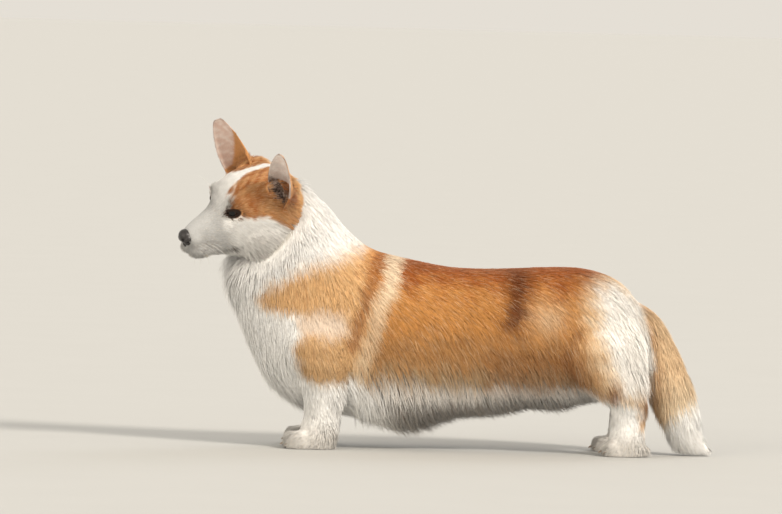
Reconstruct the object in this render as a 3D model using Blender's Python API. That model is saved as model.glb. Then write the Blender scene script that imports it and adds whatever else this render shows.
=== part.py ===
"""A standing long-bodied herding dog with a full tail, life size, as a still museum model.

Metres, +Z up. The dog faces -X and its left side faces -Y; the floor is z = 0. Its flesh is modelled
whole, as rings along the body, limbs and head that a voxel remesh melts together, and is then parted
with thin cuts. The long coat is set on as flat, tapered locks.
"""
import math
import random

import bmesh
import bpy
import numpy as np
from mathutils import Euler, Matrix, Vector
from mathutils.bvhtree import BVHTree

GAP = 0.0003
# Brings the middle of the dog's bounding box over the origin
CENTRE = Vector((0.0015, 0.0175, 0.0))

# Body: one row for each ring, from the rump to the head:
# (top x, top z, bottom x, bottom z, half width, height of the widest point as a share)
BODY_RINGS = (
    (0.268, 0.196, 0.266, 0.120, 0.030, 0.50),
    (0.262, 0.212, 0.258, 0.100, 0.050, 0.50),
    (0.240, 0.237, 0.232, 0.086, 0.068, 0.50),
    (0.212, 0.252, 0.200, 0.080, 0.078, 0.50),
    (0.170, 0.260, 0.160, 0.076, 0.082, 0.50),
    (0.120, 0.259, 0.115, 0.072, 0.081, 0.47),
    (0.060, 0.255, 0.060, 0.064, 0.083, 0.45),
    (0.000, 0.255, 0.000, 0.055, 0.087, 0.44),
    (-0.050, 0.262, -0.050, 0.048, 0.089, 0.44),
    (-0.085, 0.270, -0.100, 0.046, 0.088, 0.45),
    (-0.110, 0.280, -0.150, 0.050, 0.085, 0.46),
    (-0.131, 0.296, -0.200, 0.060, 0.082, 0.47),
    (-0.150, 0.314, -0.242, 0.084, 0.079, 0.48),
    (-0.165, 0.331, -0.272, 0.120, 0.073, 0.50),
    (-0.178, 0.346, -0.291, 0.158, 0.066, 0.51),
    (-0.192, 0.358, -0.304, 0.196, 0.056, 0.50),
    (-0.206, 0.370, -0.309, 0.226, 0.047, 0.50),
    (-0.222, 0.379, -0.308, 0.250, 0.039, 0.55),
    (-0.246, 0.370, -0.296, 0.270, 0.032, 0.60),
)
BODY_SQUARE = 2.25
BODY_SIDES = 36

# Limbs: one row for each ring along the limb: (x, y, z, half length, half width), y for the left side
FORELEG_RINGS = (
    (-0.180, -0.044, 0.205, 0.040, 0.026),
    (-0.182, -0.054, 0.172, 0.052, 0.034),
    (-0.178, -0.060, 0.135, 0.048, 0.034),
    (-0.176, -0.064, 0.105, 0.034, 0.030),
    (-0.177, -0.064, 0.075, 0.027, 0.0255),
    (-0.178, -0.062, 0.050, 0.0245, 0.0225),
    (-0.180, -0.060, 0.030, 0.0250, 0.0220),
    (-0.184, -0.060, 0.014, 0.0270, 0.0240),
    (-0.186, -0.060, 0.000, 0.0290, 0.0250),
)
HINDLEG_RINGS = (
    (0.194, -0.036, 0.225, 0.050, 0.022),
    (0.200, -0.047, 0.190, 0.064, 0.034),
    (0.206, -0.053, 0.155, 0.065, 0.038),
    (0.215, -0.056, 0.120, 0.056, 0.036),
    (0.232, -0.057, 0.092, 0.040, 0.030),
    (0.248, -0.056, 0.070, 0.0270, 0.0240),
    (0.250, -0.055, 0.046, 0.0250, 0.0215),
    (0.249, -0.055, 0.024, 0.0250, 0.0220),
    (0.248, -0.055, 0.000, 0.0260, 0.0240),
)
LIMB_SIDES = 24
# Paws: centre of the pad (x, y), length, width and height of the toes
FORE_PAW = (-0.191, -0.060, 0.076, 0.056, 0.031)
HIND_PAW = (0.243, -0.055, 0.074, 0.050, 0.029)
# Toes: how far across and ahead of the paw's middle, as shares of its width and length
PAW_TOES = ((-0.36, 0.00), (-0.13, -0.10), (0.13, -0.10), (0.36, 0.00))
CLAW_LENGTH = 0.012
FAR_HIND_SHIFT = -0.008

# Tail core: (x, z, half height, half width)
TAIL_RINGS = (
    (0.236, 0.212, 0.020, 0.020),
    (0.260, 0.196, 0.021, 0.020),
    (0.282, 0.168, 0.020, 0.020),
    (0.297, 0.135, 0.019, 0.019),
    (0.307, 0.100, 0.018, 0.018),
    (0.315, 0.066, 0.016, 0.016),
    (0.323, 0.036, 0.013, 0.013),
    (0.332, 0.014, 0.007, 0.008),
)

# Head, in its own frame: +x to the nose, +y to the left, +z up, origin midway between the eyes
HEAD_AT = Vector((-0.319, -0.046, 0.333))
HEAD_YAW, HEAD_PITCH, HEAD_ROLL = math.radians(27), math.radians(19), math.radians(-19)
# (x, top z, bottom z, half width, z of the widest point, squareness)
HEAD_RINGS = (
    (0.0690, -0.0200, -0.0440, 0.0100, -0.0330, 2.2),
    (0.0650, -0.0155, -0.0490, 0.0150, -0.0340, 2.3),
    (0.0570, -0.0110, -0.0535, 0.0190, -0.0360, 2.3),
    (0.0460, -0.0060, -0.0570, 0.0215, -0.0380, 2.3),
    (0.0330, -0.0010, -0.0590, 0.0240, -0.0380, 2.2),
    (0.0200, 0.0060, -0.0610, 0.0275, -0.0340, 2.1),
    (0.0100, 0.0140, -0.0630, 0.0320, -0.0280, 2.2),
    (0.0000, 0.0245, -0.0655, 0.0380, -0.0210, 2.35),
    (-0.0110, 0.0320, -0.0680, 0.0445, -0.0190, 2.45),
    (-0.0250, 0.0370, -0.0700, 0.0510, -0.0190, 2.45),
    (-0.0420, 0.0390, -0.0710, 0.0565, -0.0190, 2.4),
    (-0.0580, 0.0385, -0.0700, 0.0590, -0.0190, 2.3),
    (-0.0740, 0.0370, -0.0650, 0.0580, -0.0150, 2.3),
    (-0.0900, 0.0310, -0.0560, 0.0510, -0.0110, 2.2),
    (-0.1020, 0.0200, -0.0440, 0.0380, -0.0100, 2.1),
    (-0.1090, 0.0060, -0.0280, 0.0190, -0.0110, 2.0),
)
HEAD_SIDES = 40
# Dents and swellings: (x, y, z, reach, depth), y on both sides; a swelling has a negative depth
HEAD_DENTS = (
    (0.009, 0.0290, 0.0010, 0.0180, 0.0042),
    (0.014, 0.0240, -0.0100, 0.0150, 0.0025),
    (-0.006, 0.0320, 0.0150, 0.0130, -0.0030),
    (0.056, 0.0160, -0.0200, 0.0120, 0.0015),
)

EYE_AT = (-0.0040, 0.0232, 0.0010)
EYE_RADIUS = 0.0105
EYE_YAW, EYE_RISE = math.radians(40), math.radians(2)
LID_THICK = 0.0014
# The opening between the lids: half width, half height, and how far its outer corner is raised
LID_OPENING = (0.0094, 0.0060, math.radians(12))

# Nose pad: (centre x, y, z), (radii), y on both sides where it isn't 0
NOSE_FORMS = (
    ((0.0680, 0.0, -0.0235), (0.0100, 0.0100, 0.0095)),
    ((0.0672, 0.0066, -0.0270), (0.0080, 0.0062, 0.0076)),
    ((0.0660, 0.0, -0.0340), (0.0058, 0.0032, 0.0060)),
)
NOSTRIL = ((0.0768, 0.0060, -0.0255), (0.0042, 0.0026, 0.0030))
NOSTRIL_SLIT = ((0.0715, 0.0125, -0.0278), (0.0050, 0.0030, 0.0014))

# The line of the mouth, from the middle of the front to its corner: (x, y, z), y for the left side
MOUTH_LINE = (
    (0.0710, 0.0000, -0.0425),
    (0.0660, 0.0105, -0.0435),
    (0.0570, 0.0175, -0.0462),
    (0.0440, 0.0222, -0.0500),
    (0.0310, 0.0250, -0.0530),
    (0.0200, 0.0275, -0.0550),
    (0.0110, 0.0300, -0.0540),
)
MOUTH_RADIUS = 0.0015

# Ears, in the head's frame: 1 is the left and -1 the right, which is pricked further forward
EAR_ROOT = {1: Vector((-0.0690, 0.0450, 0.0120)), -1: Vector((-0.0640, -0.0465, 0.0120))}
EAR_TIP = {1: Vector((-0.0515, 0.0800, 0.0930)), -1: Vector((-0.0440, -0.0810, 0.0920))}
# How far each ear's opening is turned outwards
EAR_TURN = {1: math.radians(14), -1: math.radians(-34)}
# (share of the height, half width, half of the angle that the sheet wraps, thickness)
EAR_ROWS = (
    (-0.22, 0.0160, 115, 0.0040),
    (0.00, 0.0215, 105, 0.0038),
    (0.16, 0.0262, 90, 0.0034),
    (0.34, 0.0280, 74, 0.0030),
    (0.52, 0.0265, 62, 0.0027),
    (0.70, 0.0220, 52, 0.0024),
    (0.85, 0.0160, 45, 0.0022),
    (0.95, 0.0098, 40, 0.0020),
    (1.00, 0.0040, 35, 0.0018),
)
EAR_COLUMNS = 8

# Parting cuts
NECK_CUT = ((-0.095, 0.300), (-0.322, 0.224))
# Leg outlines from the side: (centre x, z, radius of the round top, front x and back x at the floor)
FORELEG_OUTLINE = (-0.178, 0.158, 0.050, -0.262, -0.118)
HINDLEG_OUTLINE = (0.214, 0.150, 0.078, 0.160, 0.330)
LEG_INNER = {"foreleg": 0.030, "hindleg": 0.026}
PAW_TOP = 0.032
BODY_TRIANGLES, HEAD_TRIANGLES, NOSE_TRIANGLES = 2300, 1800, 200

# The coat's outline, as seen from the side: (x, z)
CHEST_OUTLINE = (
    (-0.322, 0.252), (-0.319, 0.231), (-0.314, 0.210), (-0.311, 0.189), (-0.304, 0.169),
    (-0.300, 0.148), (-0.295, 0.134), (-0.289, 0.120), (-0.282, 0.107), (-0.272, 0.093),
    (-0.259, 0.079), (-0.248, 0.068), (-0.236, 0.059), (-0.223, 0.050), (-0.200, 0.040),
    (-0.170, 0.030), (-0.135, 0.024),
)
BELLY_OUTLINE = (
    (-0.150, 0.024), (-0.114, 0.023), (-0.093, 0.027), (-0.066, 0.027), (-0.031, 0.034),
    (-0.010, 0.039), (0.017, 0.045), (0.045, 0.050), (0.073, 0.053), (0.101, 0.055),
    (0.128, 0.060), (0.156, 0.060), (0.184, 0.058), (0.208, 0.055),
)
BREECH_OUTLINE = (
    (0.262, 0.062), (0.268, 0.078), (0.281, 0.086), (0.294, 0.101), (0.291, 0.122), (0.282, 0.142),
    (0.276, 0.163),
)
TAIL_BACK_OUTLINE = (
    (0.385, 0.000), (0.364, 0.019), (0.357, 0.040), (0.352, 0.061), (0.347, 0.081), (0.341, 0.102),
    (0.333, 0.118), (0.321, 0.136), (0.309, 0.150), (0.297, 0.168), (0.288, 0.184), (0.278, 0.200),
)
TAIL_FRONT_OUTLINE = ((0.296, 0.000), (0.289, 0.012), (0.283, 0.038), (0.277, 0.060), (0.275, 0.090),
                      (0.273, 0.130))
TAIL_HALF_WIDTH = 0.034

# Locks: (width, thickness, jitter of the tip)
BELLY_LOCK = (0.030, 0.0050, 0.0035)
CHEST_LOCK = (0.036, 0.0062, 0.0030)
BREECH_LOCK = (0.024, 0.0050, 0.0025)
TAIL_LOCK = (0.030, 0.0055, 0.0035)
# How far a lock rises before it bends over, as a share of its length
LIFT = 0.26
CHEST_CENTRE = Vector((-0.150, 0.0, 0.210))
# Clearance that a lock keeps from its node's neighbours
LOCK_CLEAR = 0.0006
SEED = 17
# Where a lock's sections stand along it and their share of its width
LOCK_SECTIONS = ((-0.20, 0.84), (0.28, 1.0), (0.70, 0.72))
SHARP = math.radians(50)
# Linear colour and roughness
COLOURS = {
    "coat": ((0.50, 0.24, 0.085), 0.85),
    "neck": ((0.78, 0.73, 0.66), 0.85),
    "head": ((0.62, 0.45, 0.30), 0.80),
    "ear": ((0.52, 0.30, 0.17), 0.80),
    "eye": ((0.020, 0.010, 0.006), 0.10),
    "nose": ((0.012, 0.011, 0.012), 0.40),
    "foreleg": ((0.60, 0.42, 0.24), 0.85),
    "hindleg": ((0.66, 0.55, 0.40), 0.85),
    "forepaw": ((0.72, 0.66, 0.58), 0.80),
    "hindpaw": ((0.72, 0.66, 0.58), 0.80),
    "tail": ((0.52, 0.30, 0.13), 0.85),
}


def clear_scene():
    for obj in list(bpy.data.objects):
        bpy.data.objects.remove(obj)


def head_matrix():
    """Carries the head's own frame into the dog's."""
    forward_is_minus_x = Matrix.Diagonal((-1, -1, 1, 1))
    turn = (
        Matrix.Rotation(HEAD_YAW, 4, "Z")
        @ Matrix.Rotation(HEAD_PITCH, 4, "Y")
        @ Matrix.Rotation(HEAD_ROLL, 4, "X")
    )
    return Matrix.Translation(HEAD_AT) @ forward_is_minus_x @ turn


def new_object(name, points, faces):
    mesh = bpy.data.meshes.new(name)
    mesh.from_pydata([tuple(p) for p in points], [], faces)
    mesh.validate()
    shape = bmesh.new()
    shape.from_mesh(mesh)
    bmesh.ops.recalc_face_normals(shape, faces=shape.faces)
    shape.to_mesh(mesh)
    shape.free()
    obj = bpy.data.objects.new(name, mesh)
    bpy.context.scene.collection.objects.link(obj)
    return obj


def loft(name, rings):
    """A closed tube through rings of points, with flat fans at both ends."""
    sides = len(rings[0])
    points = [p for ring in rings for p in ring]
    faces = []
    for i in range(len(rings) - 1):
        for j in range(sides):
            k = (j + 1) % sides
            faces.append((i * sides + j, i * sides + k, (i + 1) * sides + k, (i + 1) * sides + j))
    for ring_start in (0, (len(rings) - 1) * sides):
        centre = len(points)
        points.append(sum((Vector(p) for p in points[ring_start:ring_start + sides]), Vector()) / sides)
        faces += [(ring_start + j, ring_start + (j + 1) % sides, centre) for j in range(sides)]
    return new_object(name, points, faces)


def smooth_rows(rows, steps):
    """Rows of numbers read along a smooth curve through the given rows, steps to each stretch."""
    rows = np.array(rows, float)
    padded = np.vstack([2 * rows[0] - rows[1], rows, 2 * rows[-1] - rows[-2]])
    found = []
    for i in range(1, len(rows)):
        before, start, end, after = padded[i - 1:i + 3]
        for k in range(steps):
            t = k / steps
            found.append(
                0.5 * (2 * start + (end - before) * t + (2 * before - 5 * start + 4 * end - after) * t * t
                       + (3 * start - before - 3 * end + after) * t ** 3)
            )
    return found + [rows[-1]]


def power(value, exponent):
    return math.copysign(abs(value) ** exponent, value)


def body_loft():
    rings = []
    for top_x, top_z, low_x, low_z, half_width, share in smooth_rows(BODY_RINGS, 3):
        top, low = Vector((top_x, 0, top_z)), Vector((low_x, 0, low_z))
        middle = low.lerp(top, share)
        ring = []
        for j in range(BODY_SIDES):
            angle = 2 * math.pi * j / BODY_SIDES
            up, side = power(math.cos(angle), 2 / BODY_SQUARE), power(math.sin(angle), 2 / BODY_SQUARE)
            point = middle + (top - middle if up > 0 else middle - low) * up
            ring.append((point.x, half_width * side, point.z))
        rings.append(ring)
    return loft("body", rings)


def limb_loft(name, rows, side):
    """side is -1 for the left and 1 for the right."""
    rings = []
    for x, y, z, half_length, half_width in smooth_rows(rows, 3):
        ring = []
        for j in range(LIMB_SIDES):
            angle = 2 * math.pi * j / LIMB_SIDES
            ring.append((x + half_length * math.cos(angle), -side * y + half_width * math.sin(angle), z))
        rings.append(ring)
    return loft(name, rings)


def ellipsoid(name, centre, radii, turn=None, rings=12, sides=20):
    """A closed ball of the given radii, turned about its centre."""
    made = bmesh.new()
    place = Matrix.Translation(centre) @ (turn or Matrix.Identity(4)) @ Matrix.Diagonal((*radii, 1))
    bmesh.ops.create_uvsphere(made, u_segments=sides, v_segments=rings, radius=1, matrix=place)
    mesh = bpy.data.meshes.new(name)
    made.to_mesh(mesh)
    made.free()
    obj = bpy.data.objects.new(name, mesh)
    bpy.context.scene.collection.objects.link(obj)
    return obj


def paw(name, sizes, side, shift=0.0):
    """A low pad with four toes in front of it."""
    x, y, length, width, height = sizes
    y = -side * y
    x += shift
    forms = [ellipsoid(name, (x + 0.10 * length, y, 0.42 * height),
                       (0.40 * length, 0.44 * width, 0.62 * height))]
    for across, ahead in PAW_TOES:
        centre = (x + (ahead - 0.24) * length, y + across * width, 0.38 * height)
        forms.append(ellipsoid(name, centre, (0.25 * length, 0.155 * width, 0.56 * height)))
    return forms


def claw(x, y, z, size):
    """A curved horn cone that points forward and down."""
    rings = []
    for share in (-0.3, 0.5):
        radius = size * 0.24 * (1 - 0.6 * max(share, 0))
        centre = Vector((x - size * share, y, z - size * 0.55 * max(share, 0) ** 1.6))
        rings.append([centre + Vector((0, radius * math.cos(a) * 0.8, radius * math.sin(a)))
                      for a in (2 * math.pi * i / 5 for i in range(5))])
    points = [p for ring in rings for p in ring] + [Vector((x - size, y, z - size * 0.55))]
    faces = [(4, 3, 2, 1, 0)] + [(j, (j + 1) % 5, 5 + (j + 1) % 5, 5 + j) for j in range(5)]
    faces += [(5 + j, 5 + (j + 1) % 5, 10) for j in range(5)]
    return new_object("claw", points, faces)


def claws(sizes, side, shift=0.0):
    x, y, length, width, height = sizes
    found = []
    for across, ahead in PAW_TOES:
        found.append(claw(x + shift + (ahead - 0.435) * length, -side * y + across * width,
                          0.36 * height, CLAW_LENGTH))
    return found


def tail_loft():
    rows = smooth_rows(TAIL_RINGS, 3)
    rings = []
    for i, (x, z, half_height, half_width) in enumerate(rows):
        before, after = rows[max(i - 1, 0)], rows[min(i + 1, len(rows) - 1)]
        along = Vector((after[0] - before[0], 0, after[1] - before[1])).normalized()
        across = Vector((-along.z, 0, along.x))
        ring = []
        for j in range(LIMB_SIDES):
            angle = 2 * math.pi * j / LIMB_SIDES
            point = Vector((x, 0, z)) + across * half_height * math.cos(angle)
            ring.append((point.x, half_width * math.sin(angle), point.z))
        rings.append(ring)
    return loft("tail_core", rings)


def head_forms():
    """The head's masses in its own frame."""
    rings = []
    for x, top, low, half_width, wide, square in smooth_rows(HEAD_RINGS, 3):
        ring = []
        for j in range(HEAD_SIDES):
            angle = 2 * math.pi * j / HEAD_SIDES
            up, side = power(math.cos(angle), 2 / square), power(math.sin(angle), 2 / square)
            ring.append((x, half_width * side, wide + (top - wide if up > 0 else wide - low) * up))
        rings.append(ring)
    forms = [loft("head", rings)]
    for side in (-1, 1):
        forms.append(ellipsoid("lip", (0.046, side * 0.0110, -0.0435), (0.022, 0.0125, 0.0120)))
        forms.append(ellipsoid("cheek", (-0.050, side * 0.0265, -0.0390), (0.050, 0.0325, 0.0410)))
        forms.append(ellipsoid("ear_root", (-0.070, side * 0.0390, 0.0190), (0.026, 0.0170, 0.0180)))
    return forms


def join(name, objects):
    made = bmesh.new()
    for obj in objects:
        obj.data.transform(obj.matrix_world)
        made.from_mesh(obj.data)
        bpy.data.objects.remove(obj)
    mesh = bpy.data.meshes.new(name)
    made.to_mesh(mesh)
    made.free()
    obj = bpy.data.objects.new(name, mesh)
    bpy.context.scene.collection.objects.link(obj)
    return obj


def settle(obj):
    """Makes the modifiers' result the object's own mesh."""
    graph = bpy.context.evaluated_depsgraph_get()
    mesh = bpy.data.meshes.new_from_object(obj.evaluated_get(graph))
    obj.modifiers.clear()
    obj.data = mesh
    return obj


def melt(obj, voxel, passes, factor=0.5):
    remesh = obj.modifiers.new("melt", "REMESH")
    remesh.mode = "VOXEL"
    remesh.voxel_size = voxel
    soften = obj.modifiers.new("soften", "SMOOTH")
    soften.factor = factor
    soften.iterations = passes
    return settle(obj)


def coordinates(mesh):
    points = np.empty(len(mesh.vertices) * 3, np.float32)
    mesh.vertices.foreach_get("co", points)
    return points.reshape(-1, 3)


def put_coordinates(mesh, points):
    mesh.vertices.foreach_set("co", points.astype(np.float32).ravel())
    mesh.update()


def directions(mesh):
    found = np.empty(len(mesh.vertices) * 3, np.float32)
    mesh.vertex_normals.foreach_get("vector", found)
    return found.reshape(-1, 3)


def dent(mesh, dents):
    points, normals = coordinates(mesh), directions(mesh)
    moved = points.copy()
    for x, y, z, reach, depth in dents:
        for side in (-1, 1):
            away = np.linalg.norm(points - (x, side * y, z), axis=1) / reach
            moved -= normals * (depth * np.exp(-2.2 * away ** 2))[:, None]
    put_coordinates(mesh, moved)


def thin_out(obj, triangles):
    """Fewer triangles, at about the number given."""
    obj.data.calc_loop_triangles()
    fewer = obj.modifiers.new("fewer", "DECIMATE")
    fewer.ratio = triangles / len(obj.data.loop_triangles)
    fewer.use_collapse_triangulate = True
    return settle(obj)


def combine(obj, operation, **others):
    """One boolean step with an object or a collection, by the solver that takes these shapes."""
    before = len(obj.data.polygons), len(obj.data.vertices)
    for solver in ("MANIFOLD", "EXACT"):
        if (len(obj.data.polygons), len(obj.data.vertices)) == before:
            step = obj.modifiers.new("step", "BOOLEAN")
            step.operation = operation
            step.solver = solver
            for key, value in others.items():
                setattr(step, key, value)
            settle(obj)
    return obj


def boolean(obj, other, operation):
    """Joins, cuts or keeps the common part with another object, which is then removed."""
    combine(obj, operation, object=other)
    bpy.data.objects.remove(other)
    return obj


def copy_of(obj, grown=0.0):
    """A copy, with every point moved out along its normal."""
    mesh = obj.data.copy()
    if grown:
        put_coordinates(mesh, coordinates(mesh) + directions(mesh) * grown)
    twin = bpy.data.objects.new(obj.name + "_copy", mesh)
    bpy.context.scene.collection.objects.link(twin)
    return twin


def keep_largest(obj):
    """Keeps the largest closed surface, and drops sealed hollows and loose scraps."""
    shape = bmesh.new()
    shape.from_mesh(obj.data)
    left, groups = set(shape.faces), []
    while left:
        edge_of_group = [left.pop()]
        group = set(edge_of_group)
        while edge_of_group:
            face = edge_of_group.pop()
            for near in {f for e in face.edges for f in e.link_faces} & left:
                left.discard(near)
                group.add(near)
                edge_of_group.append(near)
        groups.append(group)
    groups.sort(key=lambda group: sum(f.calc_area() for f in group))
    bmesh.ops.delete(shape, geom=[f for group in groups[:-1] for f in group], context="FACES")
    shape.to_mesh(obj.data)
    shape.free()
    return obj


def prism(name, outline, low, high, to_world):
    """A closed prism on a flat outline, from low to high along the third axis."""
    count = len(outline)
    points = [to_world @ Vector((a, b, c)) for c in (low, high) for a, b in outline]
    faces = [tuple(range(count)), tuple(range(count, 2 * count))]
    faces += [(i, (i + 1) % count, count + (i + 1) % count, count + i) for i in range(count)]
    return new_object(name, points, faces)


def eye_matrix(side):
    """Looks out of the eye along its z axis, with x towards the outer corner."""
    out = Vector((math.cos(EYE_YAW), side * math.sin(EYE_YAW), math.sin(EYE_RISE))).normalized()
    up = (Vector((0, 0, 1)) - out * out.z).normalized()
    across = up.cross(out) * side
    up = out.cross(across) * side
    place = Matrix((across, up, out)).transposed().to_4x4()
    return Matrix.Translation((EYE_AT[0], side * EYE_AT[1], EYE_AT[2])) @ place


def ball(name, centre, radius, rings=9, sides=16):
    return ellipsoid(name, centre, (radius, radius, radius), None, rings, sides)


def lid_opening(side):
    half_width, half_height, raised = LID_OPENING
    outline = []
    for i in range(14):
        angle = 2 * math.pi * i / 14
        across, up = half_width * math.cos(angle), half_height * power(math.sin(angle), 1.25)
        outline.append((across * math.cos(raised) - up * math.sin(raised),
                        across * math.sin(raised) + up * math.cos(raised)))
    return prism("opening", outline, 0.004, 0.030, eye_matrix(side))


def nose():
    forms = []
    for (x, y, z), radii in NOSE_FORMS:
        for side in ((-1, 1) if y else (1,)):
            forms.append(ellipsoid("nose", (x, side * y, z), radii, None, 16, 24))
    pad = thin_out(melt(join("nose", forms), 0.0009, 6), NOSE_TRIANGLES)
    for side in (-1, 1):
        for (x, y, z), radii in (NOSTRIL, NOSTRIL_SLIT):
            boolean(pad, ellipsoid("nostril", (x, side * y, z), radii, None, 6, 10), "DIFFERENCE")
    return keep_largest(pad)


def mouth_groove(tree):
    """A bent bar along the line of the mouth, sunk in the surface that tree holds."""
    line = [(x, -y, z) for x, y, z in reversed(MOUTH_LINE[1:])] + list(MOUTH_LINE)
    line = [Vector(row) for row in smooth_rows(line, 2)]
    on_skin = [tree.find_nearest(point)[0] for point in line]
    rings = []
    for i, point in enumerate(on_skin):
        along = (on_skin[min(i + 1, len(line) - 1)] - on_skin[max(i - 1, 0)]).normalized()
        out = tree.find_nearest(point)[1]
        up = along.cross(out).normalized()
        radius = MOUTH_RADIUS * (0.5 if i in (0, len(line) - 1) else 1.0)
        rings.append([point + out * radius * 1.6, point + up * radius * 0.7,
                      point - out * radius * 1.4, point - up * radius * 0.7])
    return loft("groove", rings)


def ear(side):
    """An open, pointed cup, as a curved sheet with a real thickness, in the head's frame."""
    root, tip = EAR_ROOT[side], EAR_TIP[side]
    up = (tip - root).normalized()
    opening = Vector((math.cos(EAR_TURN[side]), side * math.sin(EAR_TURN[side]), 0))
    opening = (opening - up * opening.dot(up)).normalized()
    across = up.cross(opening)
    outer, inner = [], []
    for share, half_width, wrap, thick in smooth_rows(EAR_ROWS, 1):
        centre, wrap = root.lerp(tip, share), math.radians(wrap)
        radius = half_width / math.sin(min(wrap, math.pi / 2))
        back = radius * (1 - max(math.cos(wrap), 0)) * 0.5
        for rows, r in ((outer, radius), (inner, radius - thick)):
            row = []
            for j in range(EAR_COLUMNS + 1):
                angle = wrap * (2 * j / EAR_COLUMNS - 1)
                row.append(centre + across * r * math.sin(angle)
                           - opening * (r * math.cos(angle) - radius + back))
            rows.append(row)
    rings = [o + list(reversed(i)) for o, i in zip(outer, inner)]
    return loft("ear", rings)


def whole_body():
    """Torso, neck and legs in one closed surface."""
    forms = [body_loft()]
    for side in (-1, 1):
        far = FAR_HIND_SHIFT if side == 1 else 0.0
        fore = limb_loft("foreleg", FORELEG_RINGS, side)
        hind = limb_loft("hindleg", HINDLEG_RINGS, side)
        hind.data.transform(Matrix.Translation((far, 0, 0)))
        forms += [fore, hind, *paw("fore_paw", FORE_PAW, side), *paw("hind_paw", HIND_PAW, side, far)]
    body = thin_out(melt(join("body", forms), 0.0030, 9), BODY_TRIANGLES)
    floor = prism("floor", ((-1, -1), (1, -1), (1, 1), (-1, 1)), -0.1, 0.0, Matrix.Identity(4))
    return boolean(body, floor, "DIFFERENCE")


def head_parts():
    """The head with its sockets and mouth, and the nose, eyes and ears, all in the dog's frame."""
    head = melt(join("head", head_forms()), 0.0018, 8)
    dent(head.data, HEAD_DENTS)
    thin_out(head, HEAD_TRIANGLES)
    tree = BVHTree.FromPolygons([v.co for v in head.data.vertices],
                                [p.vertices for p in head.data.polygons])
    parts = {"nose": nose()}
    for side, word in ((1, "left"), (-1, "right")):
        centre = eye_matrix(side).translation
        parts["eye_" + word] = ball("eye_" + word, centre, EYE_RADIUS)
        parts["ear_" + word] = ear(side)
        boolean(head, ball("lids", centre, EYE_RADIUS + LID_THICK, 8, 16), "UNION")
    for ear_word in ("left", "right"):
        boolean(parts["ear_" + ear_word], copy_of(head, GAP), "DIFFERENCE")
        keep_largest(parts["ear_" + ear_word])
    for side in (-1, 1):
        boolean(head, ball("socket", eye_matrix(side).translation, EYE_RADIUS + GAP), "DIFFERENCE")
        boolean(head, lid_opening(side), "DIFFERENCE")
    boolean(head, mouth_groove(tree), "DIFFERENCE")
    boolean(head, copy_of(parts["nose"], GAP), "DIFFERENCE")
    parts["head"] = keep_largest(head)
    for name, part in parts.items():
        part.name = name
        part.data.transform(head_matrix())
    return parts


def leg_region(kind, side, grown):
    """What belongs to a leg: its outline from the side, from its inner plane outwards."""
    x, z, radius, front, back = FORELEG_OUTLINE if kind == "foreleg" else HINDLEG_OUTLINE
    radius += grown
    outline = [(x - radius * math.cos(a), z + radius * math.sin(a))
               for a in (math.pi * i / 12 for i in range(13))]
    outline += [(back + grown, -0.02), (front - grown, -0.02)]
    side_view = Matrix(((1, 0, 0, 0), (0, 0, -side, 0), (0, 1, 0, 0), (0, 0, 0, 1)))
    return prism("region", outline, LEG_INNER[kind] - grown, 0.2, side_view)


def part_with(obj, region, grown_region, names):
    """Splits obj in two: what lies in the region, and what lies outside the grown region."""
    inside = copy_of(obj)
    inside.name = names[0]
    boolean(inside, region, "INTERSECT")
    boolean(obj, grown_region, "DIFFERENCE")
    return keep_largest(inside)


def neck_region(grown):
    (top_x, top_z), (low_x, low_z) = NECK_CUT
    top, low = Vector((top_x, 0, top_z)), Vector((low_x, 0, low_z))
    along = (low - top).normalized()
    ahead = Vector((along.z, 0, -along.x))
    place = Matrix((along, Vector((0, 1, 0)), ahead)).transposed().to_4x4()
    place.translation = top
    return prism("region", ((-0.1, -0.2), (0.4, -0.2), (0.4, 0.2), (-0.1, 0.2)), -grown, 0.4, place)


def box_region(low, high):
    outline = ((low[0], low[1]), (high[0], low[1]), (high[0], high[1]), (low[0], high[1]))
    return prism("region", outline, low[2], high[2], Matrix.Identity(4))


def joined_triangles(objects):
    points, triangles = [], []
    for obj in objects:
        obj.data.calc_loop_triangles()
        start = len(points)
        points += [v.co.copy() for v in obj.data.vertices]
        triangles += [tuple(start + v for v in t.vertices) for t in obj.data.loop_triangles]
    return points, triangles


def tree_of(obj, grown=0.0):
    mesh = obj.data
    points = coordinates(mesh) + (directions(mesh) * grown if grown else 0.0)
    mesh.calc_loop_triangles()
    return BVHTree.FromPolygons([Vector(p) for p in points.tolist()],
                                [tuple(t.vertices) for t in mesh.loop_triangles])


def lock(name, root, tip, out, facing, width, thick):
    """A flat tapered lock that rises from its sunk root and bends towards its tip.

    out is where it rises to and facing is the way its flat side looks.
    """
    length = (tip - root).length
    control = root.lerp(tip, 0.40) + out * (LIFT * length)

    def place(t):
        return root * (1 - t) ** 2 + control * 2 * t * (1 - t) + tip * t * t

    rings = []
    for t, share in LOCK_SECTIONS:
        along = (place(t + 0.01) - place(t - 0.01)).normalized()
        across = along.cross(facing).normalized()
        up = across.cross(along)
        rings.append([place(t) + across * (share * width / 2), place(t) + up * (share * thick),
                      place(t) - across * (share * width / 2)])
    points = [p for ring in rings for p in ring] + [tip]
    faces = [(2, 1, 0)]
    for i in range(len(rings) - 1):
        for j in range(3):
            k = (j + 1) % 3
            faces.append((i * 3 + j, i * 3 + k, (i + 1) * 3 + k, (i + 1) * 3 + j))
    last = (len(rings) - 1) * 3
    faces += [(last + j, last + (j + 1) % 3, len(points) - 1) for j in range(3)]
    return new_object(name, points, faces)


def outline_at(outline, value, by_x):
    """Reads z at x, or x at z, off an outline."""
    rows = sorted((x, z) if by_x else (z, x) for x, z in outline)
    return float(np.interp(value, [row[0] for row in rows], [row[1] for row in rows]))


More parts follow.
